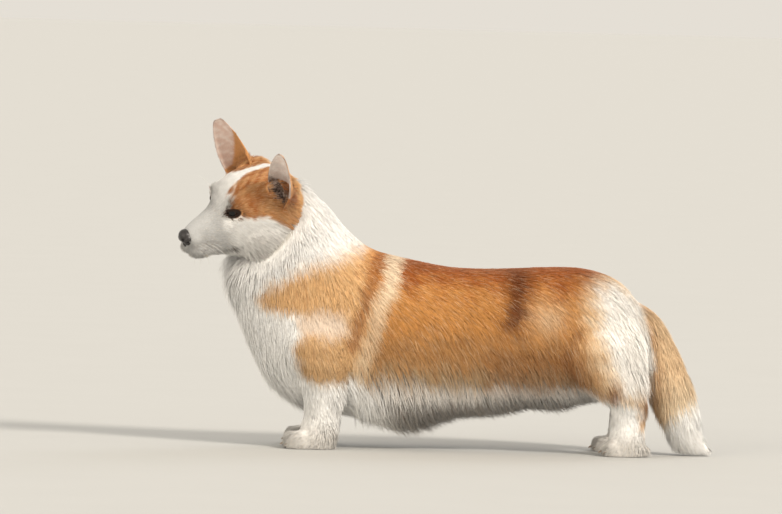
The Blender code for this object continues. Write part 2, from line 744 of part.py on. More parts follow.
def chest_out(angle):
    """How far the chest's outline is from CHEST_CENTRE, at an angle under the level."""
    rows = sorted((math.atan2(CHEST_CENTRE.z - z, CHEST_CENTRE.x - x), math.hypot(CHEST_CENTRE.x - x,
                   CHEST_CENTRE.z - z)) for x, z in CHEST_OUTLINE)
    return float(np.interp(angle, [row[0] for row in rows], [row[1] for row in rows]))


def scatter(amount):
    return Vector((random.uniform(-amount, amount), random.uniform(-amount, amount),
                   random.uniform(-amount, amount)))


def belly_locks(tree):
    """Curtains of locks along the underside, four abreast."""
    found = []
    for row, y in enumerate((-0.074, -0.030, 0.030, 0.074)):
        count = 11
        for k in range(count):
            x = -0.122 + 0.318 * (k + 0.5 * (row % 2)) / (count - 0.5)
            low = outline_at(BELLY_OUTLINE, x + 0.010, True)
            if abs(y) > 0.06:
                side = math.copysign(1, y)
                root, normal = tree.ray_cast(Vector((x - 0.010, side * 0.3, low + 0.052)), Vector((0, -side, 0)))[:2]
                if root is None:
                    continue
                tip = Vector((x + 0.012, side * (abs(root.y) - 0.004), low + 0.003)) + scatter(BELLY_LOCK[2])
                facing = Vector((0, side, 0))
            else:
                root, normal = tree.ray_cast(Vector((x - 0.010, y, -0.1)), Vector((0, 0, 1)))[:2]
                if root is None:
                    continue
                tip = Vector((x + 0.014, y * 1.12, low)) + scatter(BELLY_LOCK[2])
                facing = Vector((0.25, math.copysign(1, y), 0)).normalized()
                normal = (normal + facing * 0.5).normalized()
            found.append(lock("belly", root, tip, normal, facing, *BELLY_LOCK[:2]))
    return found


def chest_locks(tree, rows, columns):
    """Rows of locks down the throat and breast and back between the forelegs."""
    found = []
    for row in rows:
        angle = math.radians(-22 + 12.5 * row)
        for column in range(columns):
            turn = (column - (columns - 1) / 2 + 0.25 * (1 if row % 2 else -1)) * math.radians(10.2)
            root_way = chest_way(angle, turn)
            tip_angle = angle + math.radians(19)
            tip_way, middle_way = chest_way(tip_angle, turn * 1.04), chest_way(tip_angle, 0.004)
            root, normal = tree.ray_cast(CHEST_CENTRE + root_way * 0.4, -root_way)[:2]
            under = tree.ray_cast(CHEST_CENTRE + tip_way * 0.4, -tip_way)[0]
            middle = tree.ray_cast(CHEST_CENTRE + middle_way * 0.4, -middle_way)[0]
            if root is None or under is None or middle is None:
                continue
            depth = chest_out(tip_angle) - (middle - CHEST_CENTRE).length
            tip = under + tip_way * max(depth, 0.004) + scatter(CHEST_LOCK[2])
            found.append(lock("chest", root, tip, normal, normal, *CHEST_LOCK[:2]))
    return found


def chest_way(angle, turn):
    return Vector((-math.cos(angle) * math.cos(turn), math.sin(turn), -math.sin(angle))).normalized()


def breech_locks(tree, side, shift):
    found = []
    for row, height in enumerate((0.182, 0.162, 0.140, 0.119)):
        for column, y in enumerate((0.040, 0.057, 0.075)):
            start = Vector((0.6, side * (y + 0.004 * (row % 2)), height))
            root, normal = tree.ray_cast(start, Vector((-1, 0, 0)))[:2]
            if root is None:
                continue
            low = height - 0.044
            back = outline_at(BREECH_OUTLINE, low, False) + shift - 0.5 * max(y - 0.050, 0)
            tip = Vector((back, side * (y * 1.02 + 0.002), low)) + scatter(BREECH_LOCK[2])
            found.append(lock("breech", root, tip, normal, (normal + Vector((1, 0, 0))).normalized(),
                              *BREECH_LOCK[:2]))
    return found


def tail_locks(tree):
    """Rings of locks round the tail's core, with their tips on the brush's outline."""
    found = []
    rows = smooth_rows(TAIL_RINGS[1:], 1)
    for row, (x, z, _, _) in enumerate(rows[:-1]):
        before, after = rows[max(row - 1, 0)], rows[row + 1]
        along = Vector((after[0] - before[0], 0, after[1] - before[1])).normalized()
        back = Vector((-along.z, 0, along.x))
        count = 6
        for k in range(count):
            angle = 2 * math.pi * (k + 0.5 * (row % 2)) / count
            way = back * math.cos(angle) + Vector((0, math.sin(angle), 0))
            root, normal = tree.ray_cast(Vector((x, 0, z)) + way * 0.3, -way)[:2]
            if root is None:
                continue
            reach = 0.058 if row < 4 else 0.050
            middle = Vector((x, 0, z)) + along * reach
            low = max(middle.z, 0.004)
            back_x = outline_at(TAIL_BACK_OUTLINE, low, False)
            front_x = outline_at(TAIL_FRONT_OUTLINE, low, False)
            centre_x, half = (back_x + front_x) / 2, (back_x - front_x) / 2
            tip = Vector((centre_x + half * math.cos(angle), TAIL_HALF_WIDTH * math.sin(angle),
                          low - 0.012 * math.cos(angle)))
            if row < 2:
                tip = root + along * reach + way * 0.010
            tip += scatter(TAIL_LOCK[2])
            tip.z = max(tip.z, 0.0004)
            found.append(lock("tail", root, tip, way, way, *TAIL_LOCK[:2]))
    return found


def is_inside(tree, point):
    """Whether a ray from the point leaves the closed surface an odd number of times."""
    way, crossings = Vector((0.131, 0.457, 0.880)), 0
    hit = tree.ray_cast(point, way)[0]
    while hit:
        crossings += 1
        hit = tree.ray_cast(hit + way * 1e-6, way)[0]
    return crossings % 2 == 1


def clear_ones(locks, trees):
    """Drops each lock that would touch one of the trees, or stand inside it."""
    kept = []
    for one in locks:
        own = tree_of(one, LOCK_CLEAR)
        if any(own.overlap(tree) or is_inside(tree, one.data.vertices[4].co) for tree in trees):
            bpy.data.objects.remove(one)
        else:
            kept.append(one)
    return kept


def fuse(obj, locks):
    """Joins the locks to obj in one union."""
    group = bpy.data.collections.new("locks")
    bpy.context.scene.collection.children.link(group)
    for one in locks:
        group.objects.link(one)
    combine(obj, "UNION", operand_type="COLLECTION", collection=group)
    for one in list(locks):
        bpy.data.objects.remove(one)
    bpy.data.collections.remove(group)
    return keep_largest(obj)


def add_locks(parts):
    """Sets the long locks on, node by node, each clear of the nodes round it."""
    random.seed(SEED)
    trunk = BVHTree.FromPolygons(*joined_triangles([parts["torso"], parts["neck"]]))
    made = {"torso": belly_locks(tree_of(parts["torso"])) + chest_locks(trunk, range(2, 8), 6)
            + chest_locks(trunk, range(8, 10), 3), "neck": chest_locks(trunk, (0,), 6)}
    for side, word in ((1, "left"), (-1, "right")):
        shift = FAR_HIND_SHIFT if side == -1 else 0.0
        made["hindleg_" + word] = breech_locks(tree_of(parts["hindleg_" + word]), -side, shift)
    made["tail"] = tail_locks(tree_of(parts["tail"]))
    for name in ("tail", "hindleg_left", "hindleg_right", "torso", "neck"):
        others = [tree_of(part) for word, part in parts.items() if word != name]
        kept = clear_ones(made[name], others)
        fuse(parts[name], kept)


def finish(part):
    """Its material, and round shading with its hard edges kept."""
    kind = part.name.split("_")[0]
    colour, roughness = COLOURS[kind] if kind in COLOURS else COLOURS["coat"]
    material = bpy.data.materials.new(part.name)
    material.use_nodes = True
    surface = material.node_tree.nodes["Principled BSDF"]
    surface.inputs["Base Color"].default_value = (*colour, 1)
    surface.inputs["Roughness"].default_value = roughness
    surface.inputs["Metallic"].default_value = 0.0
    part.data.materials.clear()
    part.data.materials.append(material)
    part.data.polygons.foreach_set("use_smooth", np.ones(len(part.data.polygons), bool))
    part.data.update()
    part.data.set_sharp_from_angle(angle=SHARP)


def main():
    clear_scene()
    parts = head_parts()
    floor = box_region((-1, -1, -0.1), (1, 1, 0))
    parts["tail"] = boolean(thin_out(melt(tail_loft(), 0.003, 4), 420), floor, "DIFFERENCE")
    parts["tail"].name = "tail"
    torso = whole_body()
    torso.name = "torso"
    for word in ("left", "right"):
        boolean(parts["ear_" + word], copy_of(torso, GAP), "DIFFERENCE")
        keep_largest(parts["ear_" + word])
    boolean(torso, copy_of(parts["head"], GAP), "DIFFERENCE")
    boolean(torso, copy_of(parts["tail"], GAP), "DIFFERENCE")
    keep_largest(torso)
    parts["torso"] = torso
    parts["neck"] = part_with(torso, neck_region(0.0), neck_region(GAP), ["neck"])
    for side, word in ((1, "left"), (-1, "right")):
        for kind in ("foreleg", "hindleg"):
            leg = part_with(torso, leg_region(kind, side, 0.0), leg_region(kind, side, GAP),
                            [f"{kind}_{word}"])
            below = (-1, -1, -0.1), (1, 1, PAW_TOP)
            below_gap = (-1, -1, -0.1), (1, 1, PAW_TOP + GAP)
            paw_name = f"{kind.removesuffix('leg')}paw_{word}"
            parts[paw_name] = part_with(leg, box_region(*below), box_region(*below_gap), [paw_name])
            parts[leg.name] = keep_largest(leg)
            shift = FAR_HIND_SHIFT if kind == "hindleg" and side == -1 else 0.0
            for horn in claws(FORE_PAW if kind == "foreleg" else HIND_PAW, -side, shift):
                boolean(parts[paw_name], horn, "UNION")
    keep_largest(torso)
    add_locks(parts)
    for part in parts.values():
        part.data.transform(Matrix.Translation(CENTRE))
        finish(part)


main()
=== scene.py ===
"""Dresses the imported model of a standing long-bodied herding dog with its skin, coat, eyes, nose and claws.

Metres, +Z up. The dog faces -X and its left side faces -Y; the floor is z = 0. The skin is modelled
from the same rings as the solids and lies inside them by the coat's depth. The coat is made of thin
tapered tufts, set on the skin along guide directions and coloured by the same markings as the skin.
"""
import math

import bmesh
import bpy
import numpy as np
from mathutils import Matrix, Vector
from mathutils.bvhtree import BVHTree


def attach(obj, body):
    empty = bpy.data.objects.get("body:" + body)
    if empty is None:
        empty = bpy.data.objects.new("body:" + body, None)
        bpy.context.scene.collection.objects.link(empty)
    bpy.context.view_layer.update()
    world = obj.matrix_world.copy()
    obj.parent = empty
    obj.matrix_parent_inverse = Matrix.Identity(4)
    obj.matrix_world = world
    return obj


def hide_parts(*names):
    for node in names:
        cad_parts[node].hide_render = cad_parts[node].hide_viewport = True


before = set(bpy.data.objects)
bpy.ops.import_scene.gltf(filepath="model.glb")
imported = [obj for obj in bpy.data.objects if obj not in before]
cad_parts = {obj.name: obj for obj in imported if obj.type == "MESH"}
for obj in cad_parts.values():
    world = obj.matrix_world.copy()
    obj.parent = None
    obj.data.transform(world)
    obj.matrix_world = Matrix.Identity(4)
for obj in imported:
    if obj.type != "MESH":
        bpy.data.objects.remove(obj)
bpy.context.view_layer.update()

# Brings the middle of the dog's bounding box over the origin, as in the solids
CENTRE = Vector((0.0015, 0.0175, 0.0))

# Body rings, from the rump to the head:
# (top x, top z, bottom x, bottom z, half width, height of the widest point as a share)
BODY_RINGS = (
    (0.268, 0.196, 0.266, 0.12, 0.03, 0.5),
    (0.262, 0.212, 0.258, 0.1, 0.05, 0.5),
    (0.242, 0.24, 0.232, 0.086, 0.068, 0.5),
    (0.213, 0.256, 0.2, 0.08, 0.078, 0.5),
    (0.17, 0.264, 0.16, 0.076, 0.082, 0.5),
    (0.12, 0.263, 0.115, 0.072, 0.081, 0.47),
    (0.06, 0.259, 0.06, 0.064, 0.083, 0.45),
    (0.0, 0.26, 0.0, 0.055, 0.087, 0.44),
    (-0.05, 0.268, -0.05, 0.048, 0.089, 0.44),
    (-0.085, 0.2755, -0.1, 0.046, 0.088, 0.45),
    (-0.11, 0.2825, -0.15, 0.05, 0.085, 0.46),
    (-0.131, 0.296, -0.2, 0.06, 0.082, 0.47),
    (-0.15, 0.314, -0.242, 0.084, 0.079, 0.48),
    (-0.165, 0.331, -0.272, 0.12, 0.073, 0.5),
    (-0.178, 0.346, -0.291, 0.158, 0.066, 0.51),
    (-0.192, 0.358, -0.304, 0.196, 0.056, 0.5),
    (-0.206, 0.37, -0.309, 0.226, 0.047, 0.5),
    (-0.222, 0.379, -0.308, 0.25, 0.039, 0.55),
    (-0.246, 0.37, -0.296, 0.27, 0.032, 0.6),
)
BODY_SQUARE = 2.25
BODY_SIDES = 48

# Limbs: (x, y, z, half length, half width) of each ring, y for the left side
FORELEG_RINGS = (
    (-0.18, -0.04, 0.215, 0.036, 0.024),
    (-0.182, -0.052, 0.172, 0.05, 0.031),
    (-0.178, -0.06, 0.135, 0.048, 0.034),
    (-0.176, -0.064, 0.105, 0.034, 0.03),
    (-0.177, -0.064, 0.075, 0.027, 0.0255),
    (-0.178, -0.062, 0.05, 0.0245, 0.0225),
    (-0.18, -0.06, 0.03, 0.025, 0.022),
    (-0.184, -0.06, 0.014, 0.027, 0.024),
    (-0.186, -0.06, 0.0, 0.029, 0.025),
)
HINDLEG_RINGS = (
    (0.194, -0.032, 0.225, 0.046, 0.02),
    (0.2, -0.045, 0.19, 0.06, 0.029),
    (0.206, -0.053, 0.155, 0.064, 0.035),
    (0.215, -0.056, 0.12, 0.056, 0.036),
    (0.232, -0.057, 0.092, 0.04, 0.03),
    (0.248, -0.056, 0.07, 0.027, 0.024),
    (0.25, -0.055, 0.046, 0.025, 0.0215),
    (0.249, -0.055, 0.024, 0.025, 0.022),
    (0.248, -0.055, 0.0, 0.026, 0.024),
)
LIMB_SIDES = 32
# Paws: middle of the pad (x, y), length, width and height of the toes
FORE_PAW = (-0.19, -0.06, 0.066, 0.054, 0.028)
HIND_PAW = (0.25, -0.055, 0.06, 0.047, 0.025)
# Toes: how far across and ahead of the paw's middle, as shares of its width and length
PAW_TOES = ((-0.36, 0.0), (-0.13, -0.1), (0.13, -0.1), (0.36, 0.0))
CLAW_LENGTH = 0.008
FAR_HIND_SHIFT = 0.002
FAR_PAW_SHIFT = -0.011

# Tail core: (x, z, half height, half width)
TAIL_RINGS = (
    (0.236, 0.212, 0.02, 0.02),
    (0.26, 0.196, 0.023, 0.021),
    (0.282, 0.168, 0.025, 0.022),
    (0.296, 0.135, 0.028, 0.023),
    (0.308, 0.1, 0.028, 0.022),
    (0.321, 0.066, 0.025, 0.02),
    (0.332, 0.036, 0.021, 0.017),
    (0.346, 0.018, 0.014, 0.0125),
    (0.359, 0.01, 0.009, 0.009),
    (0.369, 0.006, 0.005, 0.006),
)

# Head, in its own frame: +x to the nose, +y to the left, +z up, origin midway between the eyes
HEAD_AT = Vector((-0.319, -0.046, 0.333))
HEAD_YAW = math.radians(27)
HEAD_PITCH = math.radians(19)
HEAD_ROLL = math.radians(-19)
# (x, top z, bottom z, half width, z of the widest point, squareness)
HEAD_RINGS = (
    (0.067, -0.021, -0.044, 0.01, -0.033, 2.2),
    (0.064, -0.0155, -0.049, 0.015, -0.034, 2.3),
    (0.057, -0.011, -0.0535, 0.019, -0.036, 2.3),
    (0.046, -0.006, -0.057, 0.0215, -0.038, 2.3),
    (0.033, -0.001, -0.059, 0.024, -0.038, 2.2),
    (0.02, 0.006, -0.061, 0.0275, -0.034, 2.1),
    (0.01, 0.014, -0.063, 0.032, -0.028, 2.2),
    (0.0, 0.0245, -0.0655, 0.038, -0.021, 2.35),
    (-0.011, 0.032, -0.068, 0.0445, -0.019, 2.45),
    (-0.025, 0.037, -0.07, 0.051, -0.019, 2.45),
    (-0.042, 0.039, -0.071, 0.0565, -0.019, 2.4),
    (-0.058, 0.0385, -0.07, 0.059, -0.019, 2.3),
    (-0.074, 0.037, -0.065, 0.058, -0.015, 2.3),
    (-0.09, 0.031, -0.056, 0.051, -0.011, 2.2),
    (-0.102, 0.02, -0.044, 0.038, -0.01, 2.1),
    (-0.109, 0.006, -0.028, 0.019, -0.011, 2.0),
)
HEAD_SIDES = 56
# Masses on both sides of it: (name, centre, radii)
HEAD_EGGS = (
    ("lip", (0.046, 0.011, -0.0435), (0.022, 0.0125, 0.012)),
    ("cheek", (-0.05, 0.0265, -0.039), (0.05, 0.0325, 0.041)),
    ("ear_root", (-0.07, 0.039, 0.019), (0.026, 0.017, 0.018)),
)
# Dents and swellings: (x, y, z, reach, depth), y on both sides; a swelling has a negative depth
HEAD_DENTS = (
    (0.009, 0.029, 0.001, 0.018, 0.0042),
    (0.014, 0.024, -0.01, 0.015, 0.0025),
    (-0.004, 0.03, 0.015, 0.013, -0.0042),
    (0.056, 0.016, -0.02, 0.012, 0.0015),
)

EYE_AT = (-0.004, 0.0232, 0.001)
EYE_RADIUS = 0.0105
EYE_YAW = math.radians(40)
EYE_RISE = math.radians(2)
LID_THICK = 0.0014
# The opening between the lids: half width, half height, and how far its outer corner is raised
LID_OPENING = (0.0084, 0.0038, math.radians(9))

# Nose pad: (centre), (radii), on both sides where y isn't 0
NOSE_FORMS = (
    ((0.065, 0.0, -0.0232), (0.0094, 0.011, 0.0098)),
    ((0.0646, 0.007, -0.0268), (0.0076, 0.0064, 0.008)),
    ((0.0645, 0.0, -0.034), (0.0058, 0.0034, 0.0062)),
)
NOSTRIL = ((0.073, 0.0064, -0.0252), (0.0044, 0.0027, 0.0032))
NOSTRIL_SLIT = ((0.0685, 0.0132, -0.0276), (0.0052, 0.0032, 0.0015))
# The line of the mouth, from the middle of the front to its corner
MOUTH_LINE = (
    (0.071, 0.0, -0.0425),
    (0.066, 0.0105, -0.0435),
    (0.057, 0.0175, -0.0462),
    (0.044, 0.0222, -0.05),
    (0.031, 0.025, -0.052),
    (0.02, 0.0275, -0.0515),
    (0.01, 0.03, -0.049),
)
# How deep its groove is, and how far it reaches to each side
MOUTH_DEPTH = 0.0022
MOUTH_REACH = 0.0018

# Ears, in the head's frame: 1 is the left and -1 the right, which is pricked further forward
EAR_ROOT = {1: Vector((-0.0725, 0.0472, 0.0115)), -1: Vector((-0.065, -0.046, 0.012))}
EAR_TIP = {1: Vector((-0.0578, 0.0839, 0.0915)), -1: Vector((-0.048, -0.079, 0.0905))}
# How wide each ear is, as a share of the rows below, and how far its opening is turned outwards
EAR_WIDE = {1: 0.82, -1: 0.88}
EAR_TURN = {1: math.radians(14), -1: math.radians(-34)}
# The hollow at the foot of each ear: middle, end of its long axis, and half width
EAR_PIT = ((-0.061, 0.0513, 0.0225), (-0.056, 0.0485, 0.035), 0.0085)
# (share of the height, half width, half of the angle that the sheet wraps, thickness)
EAR_ROWS = (
    (-0.22, 0.016, 115, 0.004),
    (0.0, 0.0215, 105, 0.0038),
    (0.16, 0.0262, 90, 0.0034),
    (0.34, 0.028, 74, 0.003),
    (0.52, 0.0265, 62, 0.0027),
    (0.7, 0.022, 52, 0.0024),
    (0.85, 0.0168, 45, 0.0022),
    (0.94, 0.0118, 40, 0.002),
    (0.985, 0.0072, 36, 0.0019),
    (1.0, 0.0035, 35, 0.0018),
)
EAR_COLUMNS = 30
# An ear's own coat and colours start this far above its root, within these distances of its axis and
# from the head's middle
EAR_START = 0.019
EAR_REACH = 0.04
EAR_ASIDE = 0.02

# Fineness of the remeshed skin
BODY_VOXEL = 0.0034
HEAD_VOXEL = 0.00138
# How far an ear's two faces lie inside the rows' thickness
EAR_TRIM = 0.0004
# The depth of coat under the solids' surface
DEPTH_BODY = 0.0045
DEPTH_LEG = 0.0028
DEPTH_PAW = 0.0012
DEPTH_TAIL = 0.002
DEPTH_THROAT = 0.002
# The cheek as an egg in the head's frame: its middle and its radii; the neck is hollowed round it, and
# painted shadow darkens the neck under its back edge
CHEEK_REACH = ((-0.05, 0.0265, -0.039), (0.05, 0.0345, 0.043))
CHEEK_HOLLOW = 0.009

# The camera: its focal length in millimetres, where it stands, what it looks at and how far it is turned
LENS = 331.2
CAMERA_AT = (-0.083, -10.035, 0.618)
CAMERA_TARGET = Vector((-0.083, -0.035, 0.269))
CAMERA_ROLL = math.radians(1.5)
SKY_COLOUR = "E9E3D9"
SKY_STRENGTH = 0.96
FLOOR_RADIUS = 400
SEED = 5
# Soft suns: (name, where from, how wide in degrees, strength, colour)
SUNS = (
    ("key", (1.0, -0.95, 0.95), 14, 2.6, "FFF6EA"),
    ("back", (0.6, 1.0, 0.8), 30, 0.5, "F2F5FF"),
    ("front", (-1.0, -1.0, 0.25), 50, 1.1, "FFF4E4"),
)


def linear(code):
    """A colour in sRGB hex as linear red, green and blue."""
    values = [int(code[i:i + 2], 16) / 255 for i in (0, 2, 4)]
    return np.array([v / 12.92 if v <= 0.04045 else ((v + 0.055) / 1.055) ** 2.4 for v in values])


def head_matrix():
    """Carries the head's own frame into the dog's."""
    forward_is_minus_x = Matrix.Diagonal((-1, -1, 1, 1))
    turn = (
        Matrix.Rotation(HEAD_YAW, 4, "Z")
        @ Matrix.Rotation(HEAD_PITCH, 4, "Y")
        @ Matrix.Rotation(HEAD_ROLL, 4, "X")
    )
    return Matrix.Translation(CENTRE + HEAD_AT) @ forward_is_minus_x @ turn


def carried(points, matrix):
    """Points moved by a matrix."""
    matrix = np.array(matrix)
    return points @ matrix[:3, :3].T + matrix[:3, 3]


def to_head(points):
    """Points of the dog in the head's own frame."""
    return carried(points, head_matrix().inverted())


def mirrored(points):
    """Points with those on the right side carried to the left."""
    return np.stack([points[:, 0], np.abs(points[:, 1]), points[:, 2]], 1)


def from_cheek(points):
    """How far points in the head's frame are from the cheek's middle, in the cheek's radii."""
    middle, radii = (np.array(values) for values in CHEEK_REACH)
    return np.linalg.norm((mirrored(points) - middle) / radii, axis=1)


def object_of(name, mesh):
    obj = bpy.data.objects.new(name, mesh)
    bpy.context.scene.collection.objects.link(obj)
    return obj


def new_object(name, points, faces):
    mesh = bpy.data.meshes.new(name)
    mesh.from_pydata([tuple(p) for p in points], [], faces)
    mesh.validate()
    shape = bmesh.new()
    shape.from_mesh(mesh)
    bmesh.ops.recalc_face_normals(shape, faces=shape.faces)
    shape.to_mesh(mesh)
    shape.free()
    return object_of(name, mesh)


def loft(name, rings):
    """A closed tube through rings of points, with flat fans at both ends."""
    sides = len(rings[0])
    points = [p for ring in rings for p in ring]
    faces = []
    for i in range(len(rings) - 1):
        for j in range(sides):
            k = (j + 1) % sides
            faces.append((i * sides + j, i * sides + k, (i + 1) * sides + k, (i + 1) * sides + j))
    for start in (0, (len(rings) - 1) * sides):
        centre = len(points)
        points.append(sum((Vector(p) for p in points[start:start + sides]), Vector()) / sides)
        faces += [(start + j, start + (j + 1) % sides, centre) for j in range(sides)]
    return new_object(name, points, faces)


def smooth_rows(rows, steps):
    """Rows of numbers read along a smooth curve through the given rows, steps to each stretch."""
    rows = np.array(rows, float)
    padded = np.vstack([2 * rows[0] - rows[1], rows, 2 * rows[-1] - rows[-2]])
    found = []
    for i in range(1, len(rows)):
        before, start, end, after = padded[i - 1:i + 3]
        for k in range(steps):
            t = k / steps
            curve = (-before + 3 * start - 3 * end + after) * t ** 3
            curve += (2 * before - 5 * start + 4 * end - after) * t * t
            found.append(0.5 * (2 * start + (end - before) * t + curve))
    return found + [rows[-1]]


def power(value, exponent):
    return math.copysign(abs(value) ** exponent, value)


def circle(sides, square=2):
    """Cosine and sine at each corner of a ring, which is squarer than a circle where square is over 2."""
    angles = [2 * math.pi * i / sides for i in range(sides)]
    return [(power(math.cos(a), 2 / square), power(math.sin(a), 2 / square)) for a in angles]


def body_loft():
    rings = []
    for top_x, top_z, low_x, low_z, half_width, share in smooth_rows(BODY_RINGS, 4):
        top = Vector((top_x, 0, top_z))
        low = Vector((low_x, 0, low_z))
        middle = low.lerp(top, share)
        ring = []
        for up, side in circle(BODY_SIDES, BODY_SQUARE):
            point = middle + (top - middle if up > 0 else middle - low) * up
            ring.append((point.x, half_width * side, point.z))
        rings.append(ring)
    return loft("body", rings)


def limb_loft(rows, side):
    """side is -1 for the left and 1 for the right."""
    return loft("limb", [
        [(x + half_length * cos, -side * y + half_width * sin, z) for cos, sin in circle(LIMB_SIDES)]
        for x, y, z, half_length, half_width in smooth_rows(rows, 4)])


def ellipsoid(name, centre, radii, rings=20, sides=32):
    made = bmesh.new()
    place = Matrix.Translation(centre) @ Matrix.Diagonal((*radii, 1))
    bmesh.ops.create_uvsphere(made, u_segments=sides, v_segments=rings, radius=1, matrix=place)
    mesh = bpy.data.meshes.new(name)
    made.to_mesh(mesh)
    made.free()
    return object_of(name, mesh)


def paw(sizes, side, shift):
    """A low pad with four toes in front of it."""
    x, y, length, width, height = sizes
    y = -side * y
    x += shift
    middle = (x + 0.10 * length, y, 0.42 * height)
    forms = [ellipsoid("pad", middle, (0.40 * length, 0.44 * width, 0.62 * height))]
    for across, ahead in PAW_TOES:
        centre = (x + (ahead - 0.24) * length, y + across * width, 0.38 * height)
        forms.append(ellipsoid("toe", centre, (0.25 * length, 0.155 * width, 0.56 * height)))
    return forms


def tail_loft():
    rows = smooth_rows(TAIL_RINGS, 4)
    rings = []
    for i, (x, z, half_height, half_width) in enumerate(rows):
        before = rows[max(i - 1, 0)]
        after = rows[min(i + 1, len(rows) - 1)]
        along = Vector((after[0] - before[0], 0, after[1] - before[1])).normalized()
        across = Vector((-along.z, 0, along.x))
        ring = []
        for cos, sin in circle(LIMB_SIDES):
            point = Vector((x, 0, z)) + across * half_height * cos
            ring.append((point.x, half_width * sin, point.z))
        rings.append(ring)
    return loft("tail_core", rings)


def head_forms():
    """The head's masses in its own frame."""
    rings = []
    for x, top, low, half_width, wide, square in smooth_rows(HEAD_RINGS, 4):
        rings.append([(x, half_width * side, wide + (top - wide if up > 0 else wide - low) * up)
                      for up, side in circle(HEAD_SIDES, square)])
    forms = [loft("head", rings)]
    for side in (-1, 1):
        for name, (x, y, z), radii in HEAD_EGGS:
            forms.append(ellipsoid(name, (x, side * y, z), radii))
    return forms


def join(name, objects):
    made = bmesh.new()
    for obj in objects:
        made.from_mesh(obj.data)
        bpy.data.objects.remove(obj)
    mesh = bpy.data.meshes.new(name)
    made.to_mesh(mesh)
    made.free()
    return object_of(name, mesh)


def settle(obj):
    """Makes the modifiers' result the object's own mesh."""
    graph = bpy.context.evaluated_depsgraph_get()
    mesh = bpy.data.meshes.new_from_object(obj.evaluated_get(graph))
    obj.modifiers.clear()
    obj.data = mesh
    return obj


def melt(obj, voxel, passes):
    """Remeshes joined forms as one closed surface and softens where they meet."""
    remesh = obj.modifiers.new("melt", "REMESH")
    remesh.mode = "VOXEL"
    remesh.voxel_size = voxel
    soften = obj.modifiers.new("soften", "SMOOTH")
    soften.factor = 0.5
    soften.iterations = passes
    return settle(obj)


def read(items, key, width, kind=np.float32):
    """One property of every item, as an array with a row for each."""
    found = np.empty(len(items) * width, kind)
    items.foreach_get(key, found)
    return found.reshape(-1, width)


def coordinates(mesh):
    return read(mesh.vertices, "co", 3).astype(float)


def put_coordinates(mesh, points):
    mesh.vertices.foreach_set("co", points.astype(np.float32).ravel())
    mesh.update()


def directions(mesh):
    return read(mesh.vertex_normals, "vector", 3).astype(float)


def neighbour_mean(mesh, values, passes):
    """Values at the vertices, averaged with their neighbours' a number of times."""
    a, b = read(mesh.edges, "vertices", 2, np.int32).T
    count = np.bincount(a, minlength=len(values)) + np.bincount(b, minlength=len(values)) + 1.0
    for _ in range(passes):
        total = values.copy()
        for k in range(values.shape[1]):
            total[:, k] += np.bincount(a, values[b, k], len(values))
            total[:, k] += np.bincount(b, values[a, k], len(values))
        values = total / count[:, None]
    return values


def dent(mesh, dents):
    points = coordinates(mesh)
    normals = directions(mesh)
    moved = points.copy()
    for x, y, z, reach, depth in dents:
        for side in (-1, 1):
            away = np.linalg.norm(points - (x, side * y, z), axis=1) / reach
            moved -= normals * (depth * np.exp(-2.2 * away ** 2))[:, None]
    put_coordinates(mesh, moved)


def boolean(obj, other, operation):
    """One boolean step with another object, which is then removed."""
    step = obj.modifiers.new("step", "BOOLEAN")
    step.operation = operation
    step.solver = "MANIFOLD"
    step.object = other
    settle(obj)
    bpy.data.objects.remove(other)
    return obj


def prism(name, outline, low, high, to_world):
    count = len(outline)
    points = [to_world @ Vector((a, b, c)) for c in (low, high) for a, b in outline]
    faces = [tuple(range(count)), tuple(range(count, 2 * count))]
    faces += [(i, (i + 1) % count, count + (i + 1) % count, count + i) for i in range(count)]
    return new_object(name, points, faces)


def eye_matrix(side):
    """Looks out of the eye along its z axis, with x towards the outer corner, in the head's frame."""
    out = Vector((math.cos(EYE_YAW), side * math.sin(EYE_YAW), math.sin(EYE_RISE))).normalized()
    up = (Vector((0, 0, 1)) - out * out.z).normalized()
    across = up.cross(out) * side
    up = out.cross(across) * side
    place = Matrix((across, up, out)).transposed().to_4x4()
    return Matrix.Translation((EYE_AT[0], side * EYE_AT[1], EYE_AT[2])) @ place


def lid_opening(side):
    half_width, half_height, raised = LID_OPENING
    outline = []
    for cos, sin in circle(40):
        across = half_width * cos
        up = half_height * power(sin, 1.25)
        outline.append((across * math.cos(raised) - up * math.sin(raised),
                        across * math.sin(raised) + up * math.cos(raised)))
    return prism("opening", outline, 0.004, 0.030, eye_matrix(side))


def nose():
    """The nose pad, with its nostrils and the slits beside them."""
    forms = []
    for (x, y, z), radii in NOSE_FORMS:
        for side in ((-1, 1) if y else (1,)):
            forms.append(ellipsoid("nose", (x, side * y, z), radii, 24, 36))
    pad = melt(join("nose_pad", forms), 0.0006, 10)
    for side in (-1, 1):
        for (x, y, z), radii in (NOSTRIL, NOSTRIL_SLIT):
            boolean(pad, ellipsoid("nostril", (x, side * y, z), radii, 12, 20), "DIFFERENCE")
    return pad


def ear_frame(side):
    """An ear's root, its height, the way it points and the way its cup opens, in the head's frame."""
    rise = EAR_TIP[side] - EAR_ROOT[side]
    up = rise.normalized()
    opening = Vector((math.cos(EAR_TURN[side]), side * math.sin(EAR_TURN[side]), 0))
    opening = (opening - up * opening.dot(up)).normalized()
    return EAR_ROOT[side], rise.length, up, opening


